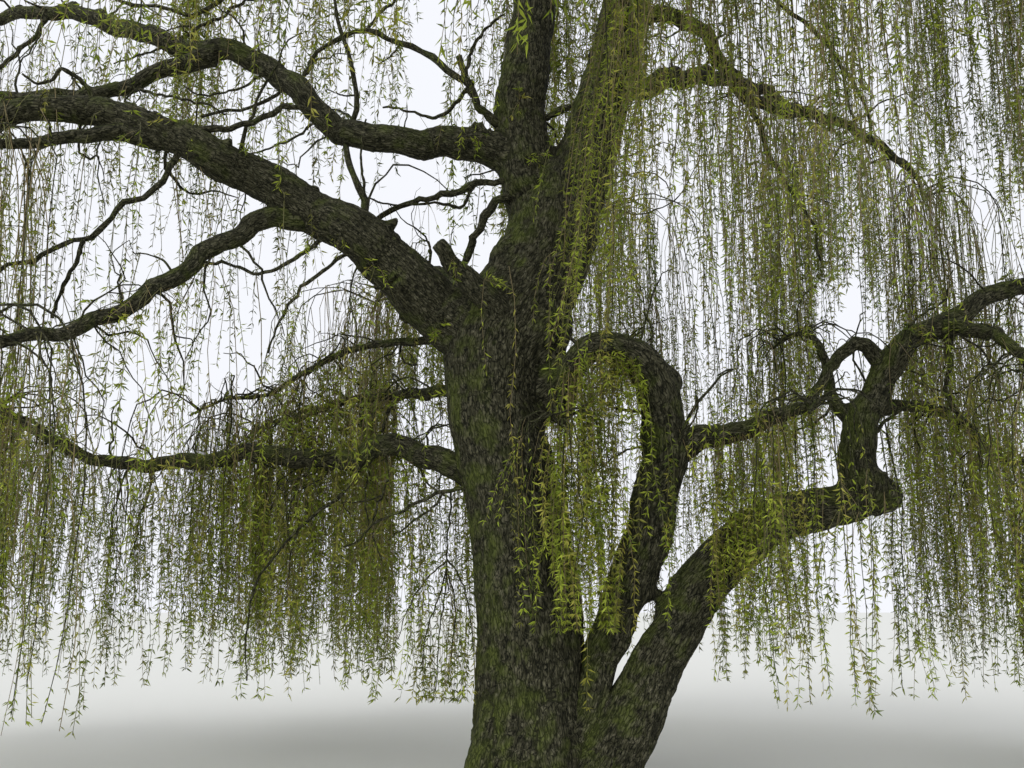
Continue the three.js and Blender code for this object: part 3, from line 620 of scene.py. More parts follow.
def willowBark(name, cells, ridges):
    material, tree, shader = newMaterial(name)
    place = addNode(tree, "ShaderNodeAttribute", {"attribute_name": "barkPlace"}).outputs["Vector"]
    fine = barkPattern(tree, place, cells)
    broad = barkPattern(tree, place, ridges)
    deep = addNode(tree, "ShaderNodeMapRange", {},
                   {"Value": broad, "From Min": bark["broadHeight"][0], "From Max": bark["broadHeight"][1],
                    "To Min": bark["broadFloor"], "To Max": 1.0})
    height = addNode(tree, "ShaderNodeMath", {"operation": "MULTIPLY"},
                     {0: fine, 1: deep.outputs[0]}).outputs[0]
    wear = addNode(tree, "ShaderNodeTexNoise", {},
                   {"Vector": place, "Scale": bark["wearScale"] * cells, "Detail": 5.0})
    worn = addNode(tree, "ShaderNodeMapRange", {},
                   {"Value": wear.outputs[0], "From Min": bark["wear"][0], "From Max": bark["wear"][1]})
    ridge = addNode(tree, "ShaderNodeMix", {"data_type": "RGBA"},
                    {"Factor": worn.outputs[0], "A": linear(bark["ridge"]), "B": linear(bark["worn"])})
    # Painted shade, with the bark's own darker furrows: the lower the relief, the nearer the colour comes to
    # the near-black furrow
    top = addNode(tree, "ShaderNodeMapRange", {},
                  {"Value": height, "From Min": bark["tint"][0], "From Max": bark["tint"][1]})
    wood = addNode(tree, "ShaderNodeMix", {"data_type": "RGBA"},
                   {"Factor": top.outputs[0], "A": linear(bark["furrow"]), "B": ridge.outputs["Result"]})
    damp = addNode(tree, "ShaderNodeAttribute", {"attribute_name": "moss"}).outputs["Fac"]
    patches = addNode(tree, "ShaderNodeTexNoise", {},
                      {"Vector": place, "Scale": bark["mossScale"], "Detail": 6.0})
    grown = addNode(tree, "ShaderNodeMath", {"operation": "MULTIPLY_ADD"},
                    {0: patches.outputs[0], 1: bark["mossEdge"][0], 2: bark["mossEdge"][1]})
    cover = addNode(tree, "ShaderNodeMath", {"operation": "ADD", "use_clamp": True},
                    {0: grown.outputs[0], 1: damp})
    share = addNode(tree, "ShaderNodeMath", {"operation": "MULTIPLY"},
                    {0: cover.outputs[0], 1: bark["mossShare"]})
    # Painted shade in the moss too: darker down in the furrows, lighter up on the ridges
    mossTint = addNode(tree, "ShaderNodeMix", {"data_type": "RGBA"},
                       {"Factor": height, "A": linear(bark["mossDark"]), "B": linear(bark["mossLight"])})
    tint = addNode(tree, "ShaderNodeMix", {"data_type": "RGBA"},
                   {"Factor": share.outputs[0], "A": wood.outputs["Result"], "B": mossTint.outputs["Result"]})
    bump = addNode(tree, "ShaderNodeBump", {},
                   {"Height": height, "Distance": bark["bumpDepth"] * mm / cells, "Strength": 1.0})
    tree.links.new(tint.outputs["Result"], shader.inputs["Base Color"])
    tree.links.new(bump.outputs[0], shader.inputs["Normal"])
    shader.inputs["Roughness"].default_value = bark["roughness"]
    shader.inputs["Specular IOR Level"].default_value = bark["shine"]
    return material


# The skin of a young willow shoot: smooth, a little waxy, tan to olive, with the colour drifting along it
shoot = {"drift": 2.5, "roughness": 0.6}


def shootSkin(name, dark, light):
    material, tree, shader = newMaterial(name)
    place = addNode(tree, "ShaderNodeTexCoord").outputs["Object"]
    drift = addNode(tree, "ShaderNodeTexNoise", {}, {"Vector": place, "Scale": shoot["drift"], "Detail": 2.0})
    tint = addNode(tree, "ShaderNodeMix", {"data_type": "RGBA"},
                   {"Factor": drift.outputs[0], "A": linear(dark), "B": linear(light)})
    tree.links.new(tint.outputs["Result"], shader.inputs["Base Color"])
    shader.inputs["Roughness"].default_value = shoot["roughness"]
    return material


# A young willow leaf: thin and matt, still more yellow than green, and never two the same
blade = {"drift": 4.0, "spread": (0.35, 0.65), "roughness": 0.6, "shine": 0.25}


def youngLeaf(name, deep, fresh):
    material, tree, shader = newMaterial(name)
    place = addNode(tree, "ShaderNodeTexCoord").outputs["Object"]
    drift = addNode(tree, "ShaderNodeTexNoise", {}, {"Vector": place, "Scale": blade["drift"], "Detail": 3.0})
    spread = addNode(tree, "ShaderNodeMapRange", {},
                     {"Value": drift.outputs[0], "From Min": blade["spread"][0],
                      "From Max": blade["spread"][1]})
    tint = addNode(tree, "ShaderNodeMix", {"data_type": "RGBA"},
                   {"Factor": spread.outputs[0], "A": linear(deep), "B": linear(fresh)})
    tree.links.new(tint.outputs["Result"], shader.inputs["Base Color"])
    shader.inputs["Roughness"].default_value = blade["roughness"]
    shader.inputs["Specular IOR Level"].default_value = blade["shine"]
    return material


# Trunk, stems and boughs. Each piece is grown from its lines, made one skin, softened where limbs meet, and
# then given its bark. "stubs" are the roots of limbs that another piece carries on. "cells" and "ridges" are
# the fine and the broad ridges in a metre, and "swell" and "knots" are shares of the limb's girth.
wood = {
    "trunk_bark": {"limbs": [], "skin": 42, "soften": 5, "halve": True, "nodes": ["trunk"], "cells": 46,
        "ridges": 15, "ridgeShare": 0.04, "ridgeDepth": 15, "swell": 0.16, "stubs": ["great_bough",
        "high_bough", "low_bough", "thin_bough", "back_left_bough", "broken_stub", "back_bough_left",
        "back_bough_mid", "back_bough_right"]},
    "leader_bark": {"limbs": ["leader_left", "leader_right"], "skin": 50, "soften": 4, "halve": True,
        "cells": 46, "ridges": 16, "ridgeShare": 0.05, "ridgeDepth": 13, "swell": 0.3,
        "stubs": ["high_bough", "back_bough_right", "left_front_bough", "front_bough", "inner_front_bough",
        "front_right_bough", "right_bough", "left_upper_bough", "back_upper_bough", "upper_right"]},
    "stem_bark": {"limbs": ["side_stem", "low_stem", "elbow_stem"], "skin": 40, "soften": 4, "halve": True,
        "nodes": ["side_stem", "side_stem_arch", "low_stem", "elbow_stem"], "cells": 48, "ridges": 17,
        "ridgeShare": 0.06, "ridgeDepth": 13, "swell": 0.32, "knots": 0.2, "stubs": ["side_branch",
        "loop_arm", "left_arm", "right_droop", "right_low"]},
    "great_bough_bark": {"limbs": ["great_bough", "great_spur", "mid_bough", "broken_stub"], "skin": 20,
        "soften": 3, "cells": 54, "ridges": 21, "ridgeShare": 0.07, "ridgeDepth": 10, "swell": 0.36,
        "knots": 0.4},
    "high_bough_bark": {"limbs": ["high_bough", "high_fork", "low_bough", "thin_bough", "back_left_bough"],
        "skin": 22, "soften": 3, "cells": 56, "ridges": 22, "ridgeShare": 0.07, "ridgeDepth": 9,
        "swell": 0.4, "knots": 0.5},
    "right_bough_bark": {"limbs": ["side_branch", "loop_arm", "left_arm", "right_droop", "right_low",
        "upper_right"], "skin": 17, "soften": 3, "cells": 60, "ridges": 25, "ridgeShare": 0.08,
        "ridgeDepth": 8, "swell": 0.4, "knots": 0.5},
    "back_bough_bark": {"limbs": ["back_bough_left", "back_bough_mid", "back_bough_right",
        "back_upper_bough", "left_upper_bough"], "skin": 32, "soften": 2, "cells": 54, "ridges": 19,
        "ridgeShare": 0.08, "ridgeDepth": 9, "swell": 0.4, "knots": 0.45},
    "front_bough_bark": {"limbs": ["left_front_bough", "front_bough", "inner_front_bough",
        "front_right_bough", "right_bough"], "skin": 30, "soften": 2, "cells": 54, "ridges": 19,
        "ridgeShare": 0.08, "ridgeDepth": 9, "swell": 0.4, "knots": 0.45},
}
burls = {  # place, radius and the share of it that is left each way, for the piece they belong to
    "stem_bark": [((1185, -245, 3440), 190, (1, 0.9, 0.85)), ((3120, -10, 2455), 195, (1.1, 0.9, 0.85)),
                  ((1150, -230, 2950), 205, (0.9, 0.9, 1.1))],
    "trunk_bark": [((70, -120, 3960), 310, (1.1, 0.9, 1)), ((-120, -120, 4560), 250, (1, 0.9, 1.2)),
                   ((250, -60, 3420), 260, (0.8, 0.9, 1.3)), ((-330, -160, 2330), 200, (0.8, 0.8, 1.2))],
    "leader_bark": [((-40, 20, 5560), 265, (0.9, 1, 1.1)), ((30, -60, 5330), 200, (1.3, 1, 0.7))],
}
# Where the side stem's arch comes back against the trunk the two have grown together
archLink = {"places": [(190, -80, 3420), (340, -190, 3520), (470, -330, 3640), (560, -400, 3700)],
            "thick": (190, 150, 120, 70)}
# The slit between the lower stems, under the place where they touch: its edges from the foot up, as places
# across and up, and how it leans to the back
slit = {
    "left": [(655, 783), (687, 888), (731, 985), (767, 1091), (811, 1135), (851, 1206), (870, 1324),
             (904, 1418), (944, 1482), (994, 1546), (1081, 1562)],
    "right": [(682, 783), (731, 897), (789, 985), (845, 1097), (900, 1166), (967, 1250), (1034, 1345),
              (1063, 1408), (1081, 1493)],
    "front": -750, "middle": -230, "back": 300, "sideways": 0.112, "fall": 0.04, "steps": 12,
}
# The root ridges at the trunk's foot, as places out and up
rootRidge = {"places": [(300, 760), (470, 260), (640, -120)], "thick": (190, 170, 145)}
making = {
    "trunkGap": 0.12, "thickGap": 0.11, "footGap": 0.1, "linkGap": 0.06,  # between the points of a line
    "thick": 150,               # from here on a limb's line has the thick limbs' gap
    "corners": (20, 14), "stout": 0.2,  # of a limb's ring, and the radius from which it has more of them
    "stub": (0.35, 2.5),        # how far a stub reaches: metres, and thicknesses besides
    "stubEnds": (1.03, 0.84),   # a stub starts proud of its limb and ends inside it
    "leaderFoot": 1.5, "stemFoot": 0.5,  # how much of the leaders and stems the trunk's piece takes along
    "flare": 115, "flareFall": 2,
    "smoothAngle": 75,
}


def thickLine(places, thick, gap):
    points, along = smoothLine(places, gap)
    radii = np.interp(along, np.linspace(0, along[-1], len(thick)), thick) * mm
    return lineOf(points, radii, along)


def rootLine(k):
    way = direction(360 / trunk["roots"] * k, 0)
    places = [way * out * mm + Vector((trunk["from"][0] * mm, 0, up * mm)) for out, up in rootRidge["places"]]
    return thickLine(places, rootRidge["thick"], making["trunkGap"])


def linkLine():
    return thickLine([Vector(place) * mm for place in archLink["places"]], archLink["thick"],
                     making["linkGap"])


def stubLine(name):
    line = chainLine(name, lineGap, making["stub"][0] + making["stub"][1] * limbs[name]["thick"] * mm)
    line["radii"] = line["radii"] * np.linspace(*making["stubEnds"], len(line["radii"]))
    return line


# The lower stems widen at the ground, as the trunk does
def widened(line):
    heights = np.maximum(line["points"][:, 2], 0)
    flare = making["flare"] * mm * np.exp(-making["flareFall"] * heights / (trunk["flareHeight"] * mm))
    line["radii"] = line["radii"] + flare
    return line


# A bar with the slit's outline, as deep as the stems, to cut them with
def slitBar():
    back = slit["front"] - slit["middle"]
    places = [Vector((x + slit["sideways"] * back, slit["front"], z - slit["fall"] * back)) * mm
              for x, z in slit["right"] + slit["left"][::-1]]
    mesh = bpy.data.meshes.new("slit")
    mesh.from_pydata(places, [], [list(range(len(places)))])
    bar = bpy.data.objects.new("slit", mesh)
    bpy.context.collection.objects.link(bar)
    pick(bar)
    editAll()
    step = (slit["back"] - slit["front"]) / slit["steps"] * mm
    for _ in range(slit["steps"]):
        bpy.ops.mesh.extrude_region_move(
            TRANSFORM_OT_translate={"value": (slit["sideways"] * step, step, -slit["fall"] * step)})
    bpy.ops.mesh.select_all(action="SELECT")
    bpy.ops.mesh.normals_make_consistent(inside=False)
    bpy.ops.object.mode_set(mode="OBJECT")
    return bar


def woodPiece(name):
    plan = wood[name]
    lines = [chainLine(limb, lineGap if limbs[limb]["thick"] < making["thick"] else making["thickGap"])
             for limb in plan["limbs"]]
    if name == "stem_bark":
        lines = [widened(line) if line["points"][0, 2] < 0 else line for line in lines]
    carried = [stubLine(limb) for limb in plan.get("stubs", [])]
    if name == "trunk_bark":
        lines = [trunkLine(making["trunkGap"])]
        carried += [chainLine(limb, making["thickGap"], making["leaderFoot"])
                    for limb in ("leader_left", "leader_right")]
        carried += [widened(chainLine(limb, making["footGap"], making["stemFoot"]))
                    for limb in ("side_stem", "low_stem")]
        carried += [rootLine(k) for k in range(trunk["roots"])] + [linkLine()]
    grown = [growLimb(line, making["corners"][0 if line["radii"][0] > making["stout"] else 1])
             for line in lines + carried]
    grown += [growBurl(*burl) for burl in burls.get(name, [])]
    piece = joined(name, grown)
    applyModifier(piece, "REMESH", {"mode": "VOXEL", "voxel_size": plan["skin"] * mm})
    if name == "stem_bark":
        bar = slitBar()
        applyModifier(piece, "BOOLEAN", {"object": bar, "operation": "DIFFERENCE", "solver": "EXACT"})
        bpy.data.objects.remove(bar)
    applyModifier(piece, "SMOOTH", {"factor": 0.5, "iterations": plan["soften"]})
    if plan.get("halve"):
        applyModifier(piece, "SUBSURF", {"levels": 1, "render_levels": 1})
    layBark(piece.data, lines + carried)
    applyModifier(piece, "NODES", {"node_group": reliefTree(name + "_relief", plan)})
    pick(piece)
    if name in ("trunk_bark", "stem_bark"):
        editAll()
        bpy.ops.mesh.bisect(plane_co=(0, 0, 0), plane_no=(0, 0, 1), use_fill=True, clear_inner=True)
        bpy.ops.object.mode_set(mode="OBJECT")
    layMoss(piece.data)
    bpy.ops.object.shade_smooth_by_angle(angle=math.radians(making["smoothAngle"]))
    piece.data.materials.clear()
    piece.data.materials.append(willowBark(name, plan["cells"], plan["ridges"]))
    nodes = plan.get("nodes", plan["limbs"])
    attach(piece, "root")
    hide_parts(*nodes)
    print(name, len(piece.data.loops) - 2 * len(piece.data.polygons), "triangles")


for name in wood:
    woodPiece(name)


# The rule that the branchlets grow by, with the source's own values
rule = {
    "cellMargin": 75 * mm, "limbMargin": 45 * mm, "layerMargin": 60 * mm,
    "guardGap": 0.12, "trunkGuard": 1.1,             # between the places kept clear, and the trunk's in radii
    "heart": 0.6, "below": 30, "above": 240,         # a space's middle along its stem, and its room
    "turns": 0.7548776662466927, "outs": 0.5698402909980532,  # even steps round a mass and out from its heart
    "root": (0.56, 0.42), "crest": 0.45, "crestRise": 0.22, "crestMost": 190 * mm, "shoulderFall": 0.06,
    "feet": 0.4, "drift": 0.035,                     # how far the feet end above the bottom, and aside
    "spray": 820 * mm, "sprayFall": -72, "twig": 16 * mm, "tries": 160, "seeds": (9176, 331),
}


# Repeatable random numbers from 0 to 1, the same as the source draws
def seeded(seed):
    full = 0xFFFFFFFF
    state = [seed & full]

    def draw():
        state[0] = (state[0] + 0x6D2B79F5) & full
        mixed = ((state[0] ^ (state[0] >> 15)) * (state[0] | 1)) & full
        mixed ^= (mixed + (((mixed ^ (mixed >> 7)) * (mixed | 61)) & full)) & full
        return (mixed ^ (mixed >> 14)) / 4294967296

    return draw


def segments(places, gap):
    spots = []
    for a, b in zip(places, places[1:]):
        pieces = max(math.ceil((b - a).length / gap), 1)
        spots += [a.lerp(b, k / pieces) for k in range(pieces)]
    return spots


guardPlaces, guardRadii = [], []
for name, places in [("trunk", walk(trunk["from"], trunk["legs"]))] + list(corners.items()):
    own = name.removesuffix("_foot")
    if own in masses:
        continue
    spots = segments(places, rule["guardGap"])
    length = sum((b - a).length for a, b in zip(places, places[1:]))
    for i, spot in enumerate(spots):
        guardPlaces.append(spot)
        if name == "trunk":
            guardRadii.append(rule["trunkGuard"] * trunk["radius"] * mm)
        elif name != own:
            guardRadii.append(limbs[own]["thick"] * mm)
        else:
            guardRadii.append(limbRadius(own, length * i / len(spots), length))
guardPlaces = np.array(guardPlaces, np.float32)
guardRadii = np.array(guardRadii, np.float32)


def offLimbs(points, radius):
    clear = []
    for part in np.array_split(points, max(len(points) // batch, 1)):
        away = np.linalg.norm(part[:, None] - guardPlaces[None], axis=2) - guardRadii[None]
        clear.append(away.min(1) > radius + rule["limbMargin"])
    return np.concatenate(clear)


spaces = {}
for name, mass in masses.items():
    stem = corners[name]
    way = stem[-1] - stem[0]
    way.z = 0
    heart = stem[int(rule["heart"] * (len(stem) - 1) + 0.5)].copy()
    heart.z = 0
    spaces[name] = {"heart": np.array(heart), "way": np.array(way.normalized()),
                    "low": (mass["bottom"] - rule["below"]) * mm,
                    "high": max(p.z for p in stem) + rule["above"] * mm}


# Whether points keep to their mass's space
def inSpace(name, points):
    own = spaces[name]
    inside = (points[..., 2] >= own["low"]) & (points[..., 2] <= own["high"])
    layer = rule["layerMargin"]
    for other, space in spaces.items():
        if other == name or space["low"] > own["high"] + layer or space["high"] < own["low"] - layer:
            continue
        away = space["heart"] - own["heart"]
        middle = (own["heart"] + space["heart"]) / 2
        inside &= (points - middle) @ away / np.linalg.norm(away) < -rule["cellMargin"]
    return inside


# Branchlet number k of a mass, as the source draws it: root, crest, shoulder and foot
def strandLine(name, k, draw):
    mass, space = masses[name], spaces[name]
    stem = corners[name]
    turn = 360 * ((0.5 + k * rule["turns"]) % 1)
    spread = mass["spread"] * mm
    out = spread * math.sqrt((0.5 + k * rule["outs"]) % 1)
    heart = Vector(space["heart"])
    foot = heart + direction(turn, 0) * out
    share = rule["root"][0] + rule["root"][1] * (foot - heart).dot(Vector(space["way"])) / spread
    place = share * (len(stem) - 1)
    root = stem[int(place)].lerp(stem[int(place) + 1], place - int(place))
    reach = math.hypot(foot.x - root.x, foot.y - root.y)
    crest = root.lerp(Vector((foot.x, foot.y, root.z)), rule["crest"])
    crest.z += min(rule["crestRise"] * reach, rule["crestMost"])
    shoulder = Vector((foot.x, foot.y, root.z - rule["shoulderFall"] * reach))
    bottom = mass["bottom"] * mm
    end = bottom + (shoulder.z - bottom) * rule["feet"] * draw() ** 2
    drift = direction(360 * draw(), 0) * rule["drift"] * (shoulder.z - end)
    return [root, crest, shoulder, Vector((foot.x + drift.x, foot.y + drift.y, end))]


# The two sprays of a branchlet: root, tip
def sprayLines(line, draw):
    shoulder, foot = line[2], line[3]
    fall = -math.sin(math.radians(rule["sprayFall"])) * rule["spray"]
    room = max(shoulder.z - foot.z - fall, 0)
    sprays = []
    for part in (0, 1):
        height = foot.z + fall + room * (part + draw()) / 2
        root = shoulder.lerp(foot, (shoulder.z - height) / (shoulder.z - foot.z))
        way = direction(360 * draw(), rule["sprayFall"])
        draw()
        sprays.append((root, root + way * rule["spray"]))
    return sprays


# Whether points stay inside the solids' own box, with room for a leaf
def inBox(points, room=0.07):
    return ((points > boxLow + room) & (points < boxHigh - room)).all(-1)


def clearLine(name, line):
    if not inSpace(name, np.array(line[1:])).all() or not inBox(np.array(line[1:]), 0.02).all():
        return False
    return offLimbs(np.array(segments(line[1:], lineGap) + [line[-1]], np.float32), rule["twig"]).all()


# Which of many paths stay off the limbs, from their point number `start` on
def clearPaths(paths, radius, start):
    clear = offLimbs(paths.reshape(-1, 3).astype(np.float32), radius).reshape(paths.shape[:2])
    return clear[:, start:].all(1)


# Joined meshes from arrays: `faces` is a list of arrays, each of one number of corners
def meshFrom(name, points, faces, material, nodes):
    mesh = bpy.data.meshes.new(name)
    loops = np.concatenate([part.ravel() for part in faces]).astype(np.int32)
    sizes = np.concatenate([np.full(len(part), part.shape[1]) for part in faces])
    mesh.vertices.add(len(points))
    mesh.vertices.foreach_set("co", np.ascontiguousarray(points, np.float32).ravel())
    mesh.loops.add(len(loops))
    mesh.loops.foreach_set("vertex_index", loops)
    mesh.polygons.add(len(sizes))
    mesh.polygons.foreach_set("loop_start", (np.cumsum(sizes) - sizes).astype(np.int32))
    mesh.update(calc_edges=True)
    mesh.materials.append(material)
    mesh.shade_smooth()
    piece = bpy.data.objects.new(name, mesh)
    bpy.context.scene.collection.objects.link(piece)
    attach(piece, "root")
    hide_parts(*nodes)
    print(name, int((sizes - 2).sum()), "triangles")
    return piece


# Closed tubes along many paths of the same number of points: corners, faces, and each corner's place on the
# tube as if it were straight
def tubes(paths, radii, sides):
    count, steps = paths.shape[:2]
    ahead = np.gradient(paths, axis=1)
    ahead /= np.linalg.norm(ahead, axis=2, keepdims=True) + 1e-12
    side = np.where(np.abs(ahead[:, 0, 2:3]) > 0.8, (1.0, 0, 0), (0, 0, 1.0))
    rings = np.empty((count, steps, sides, 3))
    turns = 2 * np.pi * np.arange(sides) / sides
    for i in range(steps):
        side = side - ahead[:, i] * (side * ahead[:, i]).sum(1, keepdims=True)
        side /= np.linalg.norm(side, axis=1, keepdims=True) + 1e-12
        over = np.cross(ahead[:, i], side)
        rings[:, i] = paths[:, i, None] + radii[:, i, None, None] * (
            np.cos(turns)[None, :, None] * side[:, None] + np.sin(turns)[None, :, None] * over[:, None])
    ring = np.arange(sides)
    quad = np.stack([ring, np.roll(ring, -1), np.roll(ring, -1) + sides, ring + sides], 1)
    quads = (np.arange(steps - 1)[:, None, None] * sides + quad[None]).reshape(-1, 4)
    starts = np.arange(count)[:, None, None] * steps * sides
    ends = [ring[::-1], ring + (steps - 1) * sides]
    faces = [(starts + quads[None]).reshape(-1, 4), (starts + np.stack(ends)[None]).reshape(-1, sides)]
    gone = np.concatenate([np.zeros((count, 1)), np.linalg.norm(np.diff(paths, axis=1), axis=2).cumsum(1)], 1)
    gone += 1.7 * np.arange(count)[:, None]
    straight = np.stack([radii[..., None] * np.cos(turns), radii[..., None] * np.sin(turns),
                         np.repeat(gone[..., None], sides, 2)], 3)
    return rings.reshape(-1, 3), faces, straight.reshape(-1, 3)


# Heaps of corners and faces, each of which becomes one piece
def newHeap():
    return {"points": [], "faces": [], "straight": []}


def heapUp(heap, points, faces, straight=None):
    start = sum(len(part) for part in heap["points"])
    heap["points"].append(points)
    heap["faces"] += [part + start for part in faces]
    if straight is not None:
        heap["straight"].append(straight)


# Places along paths at shares from 0 to 1 of their points
def along(paths, picks, shares):
    at = np.clip(shares * (paths.shape[1] - 1), 0, paths.shape[1] - 1.001)
    low = at.astype(int)
    return paths[picks, low] + (at - low)[:, None] * (paths[picks, low + 1] - paths[picks, low])


# How far along a path each of its points is, and places on it at such distances
def marksOf(points):
    return np.concatenate([[0], np.linalg.norm(np.diff(points, axis=0), axis=1).cumsum()])


def placesAt(points, marks, stops):
    return np.stack([np.interp(stops, marks, points[:, i]) for i in range(3)], 1)


# A path given again with a number of evenly spaced points
def spaced(points, count):
    marks = marksOf(points)
    return placesAt(points, marks, np.linspace(0, marks[-1], count))


